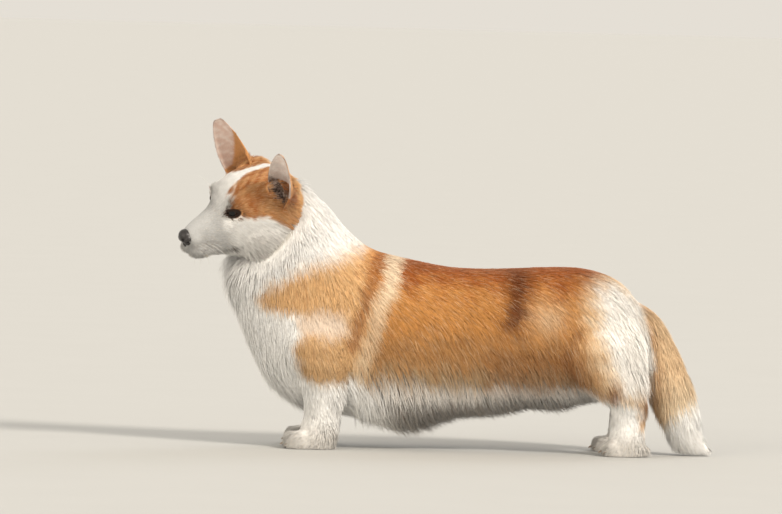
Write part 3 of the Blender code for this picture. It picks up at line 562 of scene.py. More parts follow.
def ear(side):
    """An open, pointed cup, as a curved sheet with a real thickness, in the head's frame."""
    root, _, up, opening = ear_frame(side)
    across = up.cross(opening)
    outer = []
    inner = []
    for share, half_width, wrap, thick in smooth_rows(EAR_ROWS, 5):
        centre = root.lerp(EAR_TIP[side], share)
        wrap = math.radians(wrap)
        radius = half_width * EAR_WIDE[side] / math.sin(min(wrap, math.pi / 2))
        back = radius * (1 - max(math.cos(wrap), 0)) * 0.5
        for rows, r in ((outer, radius - EAR_TRIM), (inner, radius - thick + EAR_TRIM)):
            row = []
            for j in range(EAR_COLUMNS + 1):
                angle = wrap * (2 * j / EAR_COLUMNS - 1) * 0.99
                row.append(centre + across * r * math.sin(angle)
                           - opening * (r * math.cos(angle) - radius + back))
            rows.append(row)
    return loft("ear", [o + list(reversed(i)) for o, i in zip(outer, inner)])


def ear_pit(side):
    """A long hollow that opens the foot of the ear."""
    middle, end, half_width = EAR_PIT
    middle = Vector((middle[0], side * middle[1], middle[2]))
    along = Vector((end[0], side * end[1], end[2])) - middle
    pit = ellipsoid("pit", (0, 0, 0), (half_width, half_width, along.length), 24, 24)
    turn = along.to_track_quat("Z", "Y").to_matrix().to_4x4()
    pit.data.transform(Matrix.Translation(middle) @ turn)
    return pit


def head_skin():
    """The head with its lids, mouth line and ears as one closed surface, in the dog's frame."""
    head = melt(join("head", head_forms()), HEAD_VOXEL, 12)
    dent(head.data, HEAD_DENTS)
    sink(head.data, head_depth)
    for side in (-1, 1):
        lids = ellipsoid("lids", eye_matrix(side).translation, (EYE_RADIUS + LID_THICK,) * 3)
        boolean(head, lids, "UNION")
    melt(head, HEAD_VOXEL, 3)
    groove(head.data)
    for side in (-1, 1):
        socket = ellipsoid("socket", eye_matrix(side).translation, (EYE_RADIUS + 0.0002,) * 3)
        boolean(head, socket, "DIFFERENCE")
        boolean(head, lid_opening(side), "DIFFERENCE")
        boolean(head, ear(side), "UNION")
        boolean(head, ear_pit(side), "DIFFERENCE")
    head.data.transform(head_matrix())
    return head


def head_depth(points):
    """How deep the head's coat is, by place in the head's frame."""
    x, y, z = points.T
    back = np.clip((0.010 - x) / 0.060, 0, 1)
    low = np.clip((-z - 0.010) / 0.050, 0, 1)
    eye = np.exp(-(((x - 0.004) ** 2 + (np.abs(y) - 0.028) ** 2 + z ** 2) / 0.016 ** 2))
    return (0.0003 + 0.0016 * back + 0.0035 * back * low) * (1 - 0.85 * eye)


def body_depth(points):
    """How deep the body's coat is, by place in the dog's frame before it is centred."""
    x, y, z = points.T
    depth = np.full(len(points), DEPTH_BODY)
    throat = np.clip((-0.270 - x) / 0.020, 0, 1) * np.clip((z - 0.200) / 0.030, 0, 1)
    depth += (DEPTH_THROAT - depth) * throat
    in_head = carried(points, (Matrix.Translation(CENTRE).inverted() @ head_matrix()).inverted())
    depth += CHEEK_HOLLOW * np.exp(-((from_cheek(in_head) - 1.05) / 0.22) ** 2)
    leg = np.clip((0.110 - z) / 0.045, 0, 1) * np.where(x < 0.1, x < -0.140, x > 0.215)
    depth += (DEPTH_LEG - depth) * leg * (np.abs(y) > 0.030)
    foot = np.clip((0.040 - z) / 0.020, 0, 1)
    depth += (DEPTH_PAW - depth) * foot
    tail = np.clip((x - 0.262) / 0.015, 0, 1) * (np.abs(y) < 0.030)
    return depth + (DEPTH_TAIL - depth) * tail


def sink(mesh, depth_of):
    """Moves the surface in by the coat's depth, and evens it out."""
    points = coordinates(mesh)
    depth = neighbour_mean(mesh, depth_of(points)[:, None], 20)
    normals = neighbour_mean(mesh, directions(mesh), 4)
    normals /= np.linalg.norm(normals, axis=1)[:, None]
    points -= normals * depth
    put_coordinates(mesh, points)


def groove(mesh):
    """Sinks the line of the mouth into the muzzle."""
    line = [(x, -y, z) for x, y, z in reversed(MOUTH_LINE[1:])] + list(MOUTH_LINE)
    line = np.array(smooth_rows(line, 6))
    points = coordinates(mesh)
    normals = directions(mesh)
    away = np.min(np.linalg.norm(points[:, None] - line[None], axis=2), axis=1)
    put_coordinates(mesh, points - normals * (MOUTH_DEPTH * np.exp(-(away / MOUTH_REACH) ** 2))[:, None])


def body_skin():
    """Torso, neck, legs, paws and the tail's core as one closed surface, in the dog's frame."""
    forms = [body_loft(), tail_loft()]
    for side in (-1, 1):
        far = FAR_HIND_SHIFT if side == 1 else 0.0
        hind = limb_loft(HINDLEG_RINGS, side)
        hind.data.transform(Matrix.Translation((far, 0, 0)))
        forms += [limb_loft(FORELEG_RINGS, side), hind]
        forms += paw(FORE_PAW, side, 0.0) + paw(HIND_PAW, side, FAR_PAW_SHIFT if side == 1 else 0.0)
    body = melt(join("body", forms), BODY_VOXEL, 7)
    points = coordinates(body.data)
    upper = ease(points[:, 2], 0.105, 0.145)
    put_coordinates(body.data, mix(points, neighbour_mean(body.data, points, 45), upper))
    sink(body.data, body_depth)
    floor = prism("floor", ((-1, -1), (1, -1), (1, 1), (-1, 1)), -0.1, 0.0, Matrix.Identity(4))
    boolean(body, floor, "DIFFERENCE")
    body.data.transform(Matrix.Translation(CENTRE))
    return body


# The coat's lie on the body, by place before it is centred, alike on both sides:
# (x, y, z, direction it lies in, length, lift as a share of the length, width), in millimetres
BODY_COAT = (
    (-215, 0, 372, (0.7, 0, -0.7), 24, 0.11, 0.85),
    (-170, 10, 335, (0.65, 0, -0.75), 26, 0.11, 0.85),
    (-215, 45, 325, (0.45, 0.05, -0.88), 26, 0.12, 0.85),
    (-250, 40, 290, (0.2, 0.05, -0.97), 26, 0.12, 0.85),
    (-302, 0, 268, (-0.3, 0, -0.95), 28, 0.6, 0.9),
    (-310, 15, 245, (-0.05, 0, -0.99), 30, 0.42, 0.9),
    (-150, 50, 290, (0.65, 0, -0.75), 26, 0.11, 0.85),
    (-110, 0, 280, (0.95, 0, -0.3), 24, 0.11, 0.85),
    (0, 0, 256, (1, 0, 0), 22, 0.11, 0.85),
    (120, 0, 260, (1, 0, 0), 22, 0.11, 0.85),
    (210, 0, 251, (0.95, 0, -0.3), 24, 0.11, 0.85),
    (262, 20, 215, (0.5, 0, -0.86), 26, 0.12, 0.85),
    (-60, 60, 230, (0.85, 0, -0.52), 24, 0.11, 0.85),
    (80, 65, 225, (0.88, 0, -0.47), 24, 0.11, 0.85),
    (180, 65, 220, (0.75, 0, -0.66), 24, 0.11, 0.85),
    (-70, 88, 160, (0.6, 0, -0.8), 26, 0.11, 0.85),
    (60, 83, 155, (0.62, 0, -0.78), 26, 0.11, 0.85),
    (150, 80, 150, (0.55, 0, -0.83), 26, 0.11, 0.85),
    (-90, 82, 95, (0.2, 0, -0.98), 54, 0.1, 0.85),
    (-125, 60, 70, (0.1, 0, -0.99), 50, 0.16, 0.8),
    (20, 80, 95, (0.32, 0, -0.94), 38, 0.1, 0.95),
    (120, 76, 95, (0.34, 0, -0.94), 34, 0.1, 0.95),
    (190, 60, 85, (0.3, 0, -0.95), 32, 0.14, 0.755),
    (185, 30, 82, (0.3, 0, -0.95), 26, 0.45, 0.85),
    (-80, 30, 50, (0.4, 0, -0.9), 40, 0.65, 0.95),
    (50, 30, 62, (0.4, 0, -0.9), 30, 0.6, 0.95),
    (140, 30, 74, (0.35, 0, -0.93), 30, 0.65, 0.95),
    (-205, 75, 225, (0.2, 0, -0.98), 24, 0.11, 0.85),
    (-170, 88, 170, (0.4, 0, -0.92), 22, 0.11, 0.85),
    (-165, 90, 125, (0.35, 0, -0.94), 18, 0.12, 0.8),
    (-300, 30, 200, (0.12, 0, -0.99), 30, 0.14, 0.755),
    (-290, 20, 145, (0.25, 0, -0.97), 32, 0.14, 0.755),
    (-262, 20, 95, (0.45, 0, -0.89), 34, 0.28, 0.95),
    (-220, 15, 64, (0.55, 0, -0.83), 32, 0.42, 0.95),
    (-265, 60, 180, (0.2, 0, -0.98), 28, 0.13, 0.85),
    (-240, 60, 110, (0.3, 0, -0.95), 26, 0.14, 0.85),
    (-206, 62, 60, (0.05, 0, -1), 11, 0.14, 0.75),
    (-150, 62, 80, (0.72, 0, -0.69), 20, 0.6, 1.0),
    (-152, 62, 50, (0.72, 0, -0.69), 14, 0.55, 1.0),
    (-180, 88, 70, (0.25, 0, -0.97), 13, 0.14, 0.75),
    (-200, 60, 28, (-0.9, 0, -0.42), 9, 0.22, 0.8),
    (-222, 60, 12, (-0.8, 0, -0.6), 8, 0.26, 0.8),
    (200, 85, 180, (0.45, 0, -0.89), 26, 0.12, 0.85),
    (225, 88, 130, (0.45, 0, -0.89), 24, 0.12, 0.85),
    (268, 50, 160, (0.4, 0, -0.91), 36, 0.3, 0.9),
    (265, 60, 125, (0.5, 0, -0.86), 34, 0.38, 0.9),
    (258, 55, 95, (0.6, 0, -0.8), 24, 0.32, 0.9),
    (252, 78, 50, (0.1, 0, -0.99), 11, 0.14, 0.75),
    (272, 55, 45, (0.4, 0, -0.91), 12, 0.35, 0.9),
    (225, 55, 75, (0.2, 0, -0.98), 15, 0.2, 1.0),
    (232, 55, 28, (-0.9, 0, -0.42), 9, 0.22, 0.8),
    (212, 55, 12, (-0.8, 0, -0.6), 8, 0.26, 0.8),
    (282, 10, 180, (0.45, 0, -0.89), 34, 0.1, 0.85),
    (302, 10, 130, (0.3, 0, -0.95), 38, 0.15, 0.85),
    (318, 10, 85, (0.4, 0, -0.92), 42, 0.14, 0.85),
    (300, 10, 85, (0.1, 0, -0.99), 38, 0.16, 0.85),
    (332, 5, 40, (0.6, 0, -0.8), 36, 0.08, 0.8),
    (366, 0, 6, (0.94, 0, -0.34), 5, 0.05, 0.6),
    (350, 6, 18, (0.8, 0, -0.6), 18, 0.06, 0.7),
    (314, 5, 40, (0.1, 0, -0.99), 32, 0.2, 0.85),
)
# The same on the head, in the head's frame
HEAD_COAT = (
    (66, 10, -20, (-0.9, 0.15, 0.2), 3.5, 0.14, 0.5),
    (50, 12, -10, (-0.98, 0.15, 0.1), 5, 0.16, 0.55),
    (30, 10, 2, (-0.95, 0.15, 0.3), 6, 0.18, 0.6),
    (18, 8, 12, (-0.75, 0.2, 0.6), 8, 0.3, 0.6),
    (8, 22, 18, (-0.3, 0.3, 0.9), 11, 0.6, 0.5),
    (50, 24, -38, (-0.8, 0.1, -0.45), 6, 0.2, 0.55),
    (62, 8, -45, (-0.45, 0.1, -0.85), 7, 0.3, 0.55),
    (50, 10, -55, (-0.6, 0, -0.8), 9, 0.4, 0.6),
    (30, 20, -58, (-0.6, 0, -0.8), 12, 0.35, 0.7),
    (25, 28, -30, (-0.85, 0.15, -0.4), 8, 0.18, 0.6),
    (0, 22, 26, (-0.7, 0.25, 0.6), 9, 0.18, 0.65),
    (-30, 15, 38, (-0.98, 0.1, 0.1), 10, 0.18, 0.7),
    (-70, 10, 38, (-0.98, 0, -0.15), 12, 0.18, 0.8),
    (4, 36, -12, (-0.8, 0.1, -0.5), 9, 0.16, 0.65),
    (-20, 48, 8, (-0.95, 0.1, -0.05), 10, 0.16, 0.7),
    (-20, 50, -30, (-0.8, 0.1, -0.6), 14, 0.18, 0.6),
    (-50, 58, -30, (-0.75, 0.12, -0.66), 20, 0.24, 0.7),
    (-25, 48, -65, (-0.4, 0.2, -0.92), 34, 0.48, 0.8),
    (-55, 50, -65, (-0.5, 0.2, -0.85), 37, 0.5, 0.8),
    (-75, 55, -40, (-0.7, 0.2, -0.7), 32, 0.45, 0.8),
    (-10, 20, -72, (-0.35, 0, -0.93), 28, 0.6, 0.8),
    (12, 15, -64, (-0.45, 0, -0.9), 15, 0.55, 0.8),
    (-85, 45, -5, (-0.85, 0.1, -0.5), 18, 0.24, 0.9),
    (-100, 20, 10, (-0.8, 0, -0.6), 20, 0.2, 0.9),
)
# Whiskers in the head's frame: (root), (direction), y on both sides
WHISKER_ROOTS = tuple(
    ((0.056 - 0.006 * i, 0.021 + 0.001 * i, -0.033 - 0.0045 * j - 0.0004 * i),
     (-0.35 - 0.12 * i, 0.9, -0.1 - 0.2 * j))
    for j in range(3) for i in range(4)
) + (
    ((0.006, 0.026, 0.016), (0.1, 0.5, 0.9)),
    ((0.001, 0.029, 0.017), (-0.1, 0.6, 0.8)),
    ((0.05, 0.006, -0.058), (0.1, 0.3, -0.9)),
    ((0.04, 0.008, -0.06), (-0.1, 0.3, -0.9)),
)
WHISKER_LENGTH = 0.03
WHISKER_THICK = 0.0003
# How far a whisker's tip bends aside, as a share of its length
WHISKER_BEND = 0.22
# How many tufts the whole coat has
TUFTS = 240000
# Where the coat is cut into pieces: the names, and how far the flanks reach from the middle
COAT_NAMES = ("face_left", "face_right", "front_left", "front_right", "flank_left", "flank_right",
              "haunch_left", "haunch_right", "tail", "legs")
TRUNK_END = 0.07
# No tufts grow on the soles, below this height
SOLE_HEIGHT = 0.004
# The most triangles a piece of coat may have
PIECE_LIMIT = 196000
# The tail's coat as its own piece: behind this x, this near the middle; the legs' coat is below a height
TAIL_CUT = (0.266, 0.035)
LEG_CUT = 0.085
# Lids and lips stay bare: skin darker than this, in front of this x of the head
BARE_SKIN = (0.1, -0.03)
# So do ears where the hair would stand straight up, and their tips this far down
STEEP = 0.92
EAR_TIP_BARE = 0.005
# Fewer tufts on the head, and more on the tail behind this x, this near the middle
HEAD_FEWER = 0.2
TAIL_MORE = (1.8, 0.275, 0.03)
# How far tufts vary in length, lift and width
LENGTHS = (0.72, 1.12)
LIFTS = (0.75, 1.2)
WIDTHS = (0.75, 1.25)
# How far tufts turn and bend aside: by chance, by place, and the size of the waves
TURNS = (0.1, 0.05, 0.03)
BENDS = (0.07, 0.05, 0.02)
# Paler and darker tufts: their share of the coat, and the least and most they differ
PALER = (0.22, 0.05, 0.2)
DARKER = (0.14, 0.15, 0.45)
# How far a tuft starts under the skin, its tip drops with its weight, and it stays above the floor
ROOT_DEPTH = 0.0008
DROP = 0.1
ABOVE_FLOOR = 0.0003
# Half widths of a tuft's rings, as shares of its width
RING_WIDTHS = (0.5, 0.4)
# Side length of a tuft's patch on the bake map
PATCH = 0.003
# The hair on the ears: length, lift and width in metres
EAR_COAT = (0.0065, 0.1, 0.0006)
# How much a tuft's shading follows the skin under it
SOFTNESS = 0.88
# Height of a tuft's ridge, as a share of half its width
RIDGE = 0.4
# How far along it a tuft shows most, where its marking is read
SHOWING = 0.6

# Markings: the coloured mantle seen from the side, before it is centred
MANTLE = (
    (-0.105, 0.32), (-0.122, 0.278), (-0.142, 0.268), (-0.176, 0.258), (-0.211, 0.246),
    (-0.241, 0.228), (-0.272, 0.208), (-0.254, 0.196), (-0.223, 0.187), (-0.209, 0.181),
    (-0.206, 0.155), (-0.213, 0.136), (-0.207, 0.102), (-0.172, 0.09), (-0.134, 0.096),
    (-0.067, 0.09), (0.002, 0.088), (0.072, 0.088), (0.155, 0.086), (0.205, 0.086),
    (0.222, 0.078), (0.25, 0.076), (0.268, 0.064), (0.274, 0.034), (0.29, 0.036), (0.305, 0.052),
    (0.35, 0.09), (0.4, 0.122), (0.4, 0.42),
)
# The white patches on haunch and shoulder, and the pale stripe behind the shoulder with its dark band
HAUNCH_PATCH = ((0.208, 0.222), (0.228, 0.231), (0.256, 0.214), (0.29, 0.15), (0.294, 0.09),
                (0.2445, 0.094), (0.229, 0.131), (0.217, 0.168))
SHOULDER_PATCH = ((-0.212, 0.184), (-0.178, 0.19), (-0.148, 0.184), (-0.144, 0.166), (-0.172, 0.156),
                  (-0.204, 0.16))
STRIPE = ((-0.075, 0.262), (-0.087, 0.223), (-0.1, 0.188), (-0.113, 0.146), (-0.123, 0.108))
DARK_BAND = ((-0.1, 0.262), (-0.113, 0.222), (-0.124, 0.187), (-0.134, 0.145))
# Darker brown hair over the knee and behind the hock: ((x, z), (reach along x and z))
KNEE_TUFTS = (((0.23, 0.086), (0.012, 0.016)), ((0.279, 0.072), (0.012, 0.018)))
# The band of painted shade down the flank, the line in front of the thigh, and a pale spot between them
FLANK_SHADE_BAND = ((0.095, 0.232), (0.0926, 0.2055), (0.0865, 0.176))
THIGH_LINE = ((0.176, 0.17), (0.16, 0.135), (0.19, 0.1))
PALE_FLANK = ((0.136, 0.19), (0.024, 0.02))
# The front edge of the tail: heights, and x at each
TAIL_EDGE = ((0.0, 0.088, 0.143, 0.213, 0.24), (0.282, 0.287, 0.2885, 0.2615, 0.245))
# The patch behind the eye, in the head's frame seen from its side
HEAD_PATCH = (
    (-0.015, 0.07), (-0.014, 0.036), (-0.001, 0.024), (0.003, 0.011), (0.001, -0.003),
    (-0.012, -0.006), (-0.032, -0.008), (-0.054, -0.022), (-0.062, -0.036), (-0.078, -0.034),
    (-0.115, -0.01), (-0.112, 0.07),
)
# The white blaze: its middle and half its width, across the head
BLAZE_MIDDLE = -0.007
BLAZE_HALF = 0.0062
# The dark hair inside the near ear, along a line in the head's frame
EAR_HAIR = ((-0.056, 0.048, 0.034), (-0.0625, 0.0515, 0.013))
# Dark hair over each eye and at its inner corner: (middle, reach, share)
EYE_SMUDGES = (
    ((0.004, 0.023, 0.013), (0.005, 0.006, 0.004), 0.6),
    ((0.0115, 0.019, -0.003), (0.004, 0.005, 0.003), 0.85),
)

WHITE = linear("FCFAF6")
CREAM = linear("F8E5C6")
GOLD = linear("DCAE7A")
RED = linear("9E5725")
RUST = linear("8E5226")
BROWN = linear("7A4B2A")
FLANK_SHADE_BROWN = linear("602E10")
ORANGE = linear("C88B4C")
TAN = linear("B0804F")
BEIGE = linear("A88C6A")
GREY = linear("A8A39C")
SLATE = linear("6E6B69")
NECK_SHADOW_TAUPE = linear("8F8670")
MUZZLE_SHADE_ASH = linear("8E9091")
DARK = linear("2A1D16")
EAR_PINK = linear("D4BAAD")
# The least red, green or blue that any hair has
DARKEST = 0.003
# How many waves a smooth noise is made of
WAVES = 6


def ease(value, low, high):
    """0 below low and 1 above high, with a soft step between."""
    share = np.clip((value - low) / (high - low), 0, 1)
    return share * share * (3 - 2 * share)


def wobble(points, size, seed):
    """Smooth noise between about -1 and 1, with waves of the given size."""
    rng = np.random.default_rng(seed)
    total = np.zeros(len(points))
    for _ in range(WAVES):
        way = rng.normal(size=3)
        way *= 2 * math.pi / size / np.linalg.norm(way) * rng.uniform(0.6, 1.7)
        total += np.sin(points @ way + rng.uniform(0, 6.28))
    return total / 2.6


def to_line(a, b, line):
    """Distance to an open line of points."""
    best = np.full(len(a), 1e9)
    for (ax, az), (bx, bz) in zip(line, line[1:]):
        share = np.clip(((a - ax) * (bx - ax) + (b - az) * (bz - az))
                        / ((bx - ax) ** 2 + (bz - az) ** 2), 0, 1)
        best = np.minimum(best, np.hypot(a - ax - share * (bx - ax), b - az - share * (bz - az)))
    return best


def to_outline(a, b, outline):
    """Distance to a closed outline, positive inside."""
    closed = outline + outline[:1]
    inside = np.zeros(len(a), bool)
    for (ax, az), (bx, bz) in zip(closed, closed[1:]):
        if az != bz:
            inside ^= ((az > b) != (bz > b)) & (a < (bx - ax) * (b - az) / (bz - az) + ax)
    best = to_line(a, b, closed)
    return np.where(inside, best, -best)


def mix(base, colour, share):
    return base + (colour - base) * share[:, None]


def spot(places, middle, reach):
    """1 at the middle of a soft spot, and falling to 0 around it."""
    return np.exp(-(((places - middle) / reach) ** 2).sum(1))


def body_marks(points):
    """The coat's colour on body, legs and tail, with painted shade on the flank, under the belly and on the
    feet, by place before it is centred.
    """
    x, y, z = points.T
    rough = wobble(points, 0.030, 1) * 0.5 + wobble(points, 0.012, 2) * 0.5
    trunk = ease(x, -0.135, -0.095) * ease(-x, -0.215, -0.160)
    low = z + 0.012 * rough
    flank = mix(BEIGE, TAN, ease(low, 0.100, 0.135))
    flank = mix(flank, ORANGE, ease(low, 0.140, 0.185))
    coat = mix(GOLD, flank, trunk)
    coat = mix(coat, RED, ease(low, 0.205, 0.248) * ease(x, -0.120, -0.070) * ease(-x, -0.235, -0.200))
    coat = mix(coat, BEIGE, 0.7 * (1 - trunk) * ease(-low, -0.125, -0.090) * ease(-x, -0.150, 0.000))
    arm = ease(-x, 0.130, 0.160) * ease(-z, -0.165, -0.140)
    coat = mix(coat, BEIGE, 0.30 * arm)
    # Painted shade: a dark reddish-brown band down the flank
    band = to_line(x, z, FLANK_SHADE_BAND)
    coat = mix(coat, FLANK_SHADE_BROWN, 0.92 * ease(-band - 0.006 * rough, -0.034, 0.000) * ease(z, 0.145, 0.190))
    rear = ease(x, 0.030, 0.070) * ease(-x, -0.235, -0.190)
    coat = mix(coat, BROWN, 0.42 * rear * ease(-z - 0.008 * rough, -0.165, -0.130))
    from_side = points[:, ::2]
    coat = mix(coat, CREAM, 0.38 * spot(from_side, *PALE_FLANK))
    for line, colour, share, full in ((THIGH_LINE, BROWN, 0.45, -0.001), (DARK_BAND, RUST, 0.60, -0.003)):
        band = to_line(x, z, line)
        coat = mix(coat, colour, share * ease(-band - 0.003 * rough, -0.014, full))
    band = to_line(x, z, STRIPE)
    paler = 0.42 + 0.36 * ease(z, 0.150, 0.235)
    coat = mix(coat, CREAM, paler * ease(-band - 0.004 * rough, -0.019, -0.003))
    patch = to_outline(x, z, HAUNCH_PATCH)
    coat = mix(coat, CREAM, 0.50 * ease(patch + 0.008 * rough, -0.038, -0.010))
    coat = mix(coat, WHITE, 0.88 * ease(patch + 0.006 * rough, -0.020, 0.010))
    patch = to_outline(x, z, SHOULDER_PATCH)
    coat = mix(coat, WHITE, 0.46 * ease(patch + 0.004 * rough, -0.014, 0.008) * ease(np.abs(y), 0.03, 0.05))
    for place, size in KNEE_TUFTS:
        coat = mix(coat, BROWN, 0.95 * spot(from_side, place, size))
    edge = np.interp(z, *TAIL_EDGE)
    tail = ease(x - edge + 0.002 * rough, -0.003, 0.006) * ease(-np.abs(y), -0.034, -0.026)
    plume = mix(ORANGE, GOLD, ease(x - edge, 0.002, 0.014))
    paler = 0.34 + 0.36 * ease(-z, -0.130, -0.080) * ease(x - edge, 0.006, 0.026)
    coat = mix(coat, mix(plume, CREAM, paler), tail)
    soft = 0.009 + 0.012 * ease(z, 0.220, 0.265) * ease(-x, 0.090, 0.130)
    soft += 0.009 * ease(-z, -0.120, -0.105) * ease(x, -0.120, -0.090) * ease(-x, -0.200, -0.170)
    mantle = ease((to_outline(x, z, MANTLE) + 0.005 * rough) / soft, -1, 1)
    front = ease(-x, 0.115, 0.145) * ease(-z, -0.262, -0.240)
    mantle *= 1 - front * ease(-np.abs(y), -0.052, -0.036)
    under = ease(-z, -0.110, -0.085) * ease(-np.abs(y), -0.065, -0.045)
    mantle *= 1 - under * ease(-x, -0.200, -0.180)
    # Painted shade under the belly: the white hair turns grey low down, then slate at the lowest fringe,
    # reaching higher towards the back
    belly = ease(x, -0.110, -0.060) * ease(-x, -0.210, -0.190)
    pale = mix(WHITE, GREY, 0.85 * ease(-z, -0.088, -0.060) * belly)
    belly = ease(x, -0.120, -0.040) * ease(-x, -0.205, -0.190)
    depth = -z - 0.004 * rough + 0.014 * ease(x, 0.02, 0.09)
    pale = mix(pale, SLATE, 0.60 * ease(depth, -0.080, -0.056) * belly)
    # Painted shade: the feet turn grey in their lowest few centimetres, near the floor
    pale = mix(pale, GREY, 0.60 * ease(-z, -0.040, -0.012) * ease(-x, -0.290, -0.275))
    return mix(pale, coat, mantle)


def head_marks(points):
    """The coat's colour on the head, with painted shade on the lower cheeks and muzzle, by place in the
    head's frame.
    """
    x, y, z = points.T
    rough = wobble(points, 0.012, 3)
    # Painted shade: the lower cheeks turn grey and the muzzle ash grey
    coat = mix(WHITE, GREY, 0.36 * ease(-z, 0.012, 0.040) * ease(-x, -0.010, 0.020))
    coat = mix(coat, MUZZLE_SHADE_ASH, 0.72 * ease(x, 0.000, 0.024))
    freckles = spot(points[:, ::2], (0.046, -0.040), (0.016, 0.009))
    coat = mix(coat, SLATE, (freckles * (0.25 + 0.55 * wobble(points, 0.003, 4))).clip(0, 0.8))
    far = 0.016 * ease(-y, 0.004, 0.014) * ease(z, 0.010, 0.024)
    patch = ease(to_outline(x + far, z, HEAD_PATCH) + 0.0015 * rough, -0.003, 0.003)
    half = BLAZE_HALF + 0.009 * ease(x, -0.040, -0.012)
    blaze = ease(-np.abs(y - BLAZE_MIDDLE) + half, -0.0025, 0.0015)
    tan = mix(GOLD, RED, 0.62 + 0.25 * rough.clip(-1, 1))
    tan = mix(tan, GOLD, 0.8 * ease(-x, 0.072, 0.088))
    coat = mix(coat, tan, patch * (1 - blaze * ease(z, 0.012, 0.020)))
    left = mirrored(points)
    for middle, reach, share in EYE_SMUDGES:
        coat = mix(coat, DARK, share * spot(left, middle, reach))
    half_width, half_height, raised = LID_OPENING
    rim = np.ones(len(points))
    for side in (-1, 1):
        in_eye = carried(points, eye_matrix(side).inverted())
        across = in_eye[:, 0] * math.cos(raised) + in_eye[:, 1] * math.sin(raised)
        up = -in_eye[:, 0] * math.sin(raised) + in_eye[:, 1] * math.cos(raised)
        away = np.hypot(across / (half_width + 0.0014), up / (half_height + 0.0016))
        rim *= np.where(in_eye[:, 2] > -0.002, ease(away, 1.12, 1.80), 1)
    coat = mix(coat, BROWN, 0.9 * (1 - rim))
    coat = mix(coat, DARK, ease(1 - rim, 0.45, 0.85))
    line = np.array(smooth_rows(MOUTH_LINE, 6))
    lip = np.min(np.linalg.norm(left[:, None] - line[None], axis=2), axis=1)
    coat = mix(coat, GREY, 0.8 * ease(-lip, -0.0030, -0.0012))
    return mix(coat, DARK, 0.85 * ease(-x, -0.040, -0.026) * ease(-lip, -0.0065, -0.0028))


def ear_marks(points, normals, side):
    """An ear's colour: tan behind, pale skin and hair within, in the head's frame."""
    root, height, up, opening = (np.array(value) for value in ear_frame(side))
    share = (points - root) @ up / height
    turned = 0.55 * ease(share, 0.42, 0.60) * (side == -1)
    within = ease(normals @ opening + turned, -0.10, 0.20)
    # Painted light and shade: the inside of the near ear is painted paler, as light shining through it, and
    # that of the far ear darker, as shade
    pale = 0.42 if side == 1 else 0.10
    inner = mix(EAR_PINK, WHITE, pale + 0.2 * wobble(points, 0.010, 6).clip(-0.5, 1))
    if side == 1:
        inner = mix(inner, BROWN, 0.35 * ease(-share, -0.50, -0.25))
    else:
        fold = (points - root) @ np.cross(up, opening) * side + 0.060 * (share - 0.50)
        inner = mix(inner, ORANGE, 0.9 * ease(-fold, -0.001, 0.003))
    return mix(GOLD + (RED - GOLD) * 0.45, inner, within)


def follow(points, rows):
    """Lie, length, lift and width at each point, as a weighted mean of the guide rows."""
    total = np.zeros((len(points), 6))
    weight = np.zeros(len(points))
    for x, y, z, lie, length, lift, width in rows:
        for side in ((-1, 1) if y else (1,)):
            away = ((points - np.array((x, side * y, z)) / 1000) ** 2).sum(1)
            share = 1 / (away + 0.010 ** 2) ** 2
            values = (lie[0], side * lie[1], lie[2], length / 1000, lift, width / 1000)
            total += share[:, None] * np.array(values)
            weight += share
    return total / weight[:, None]


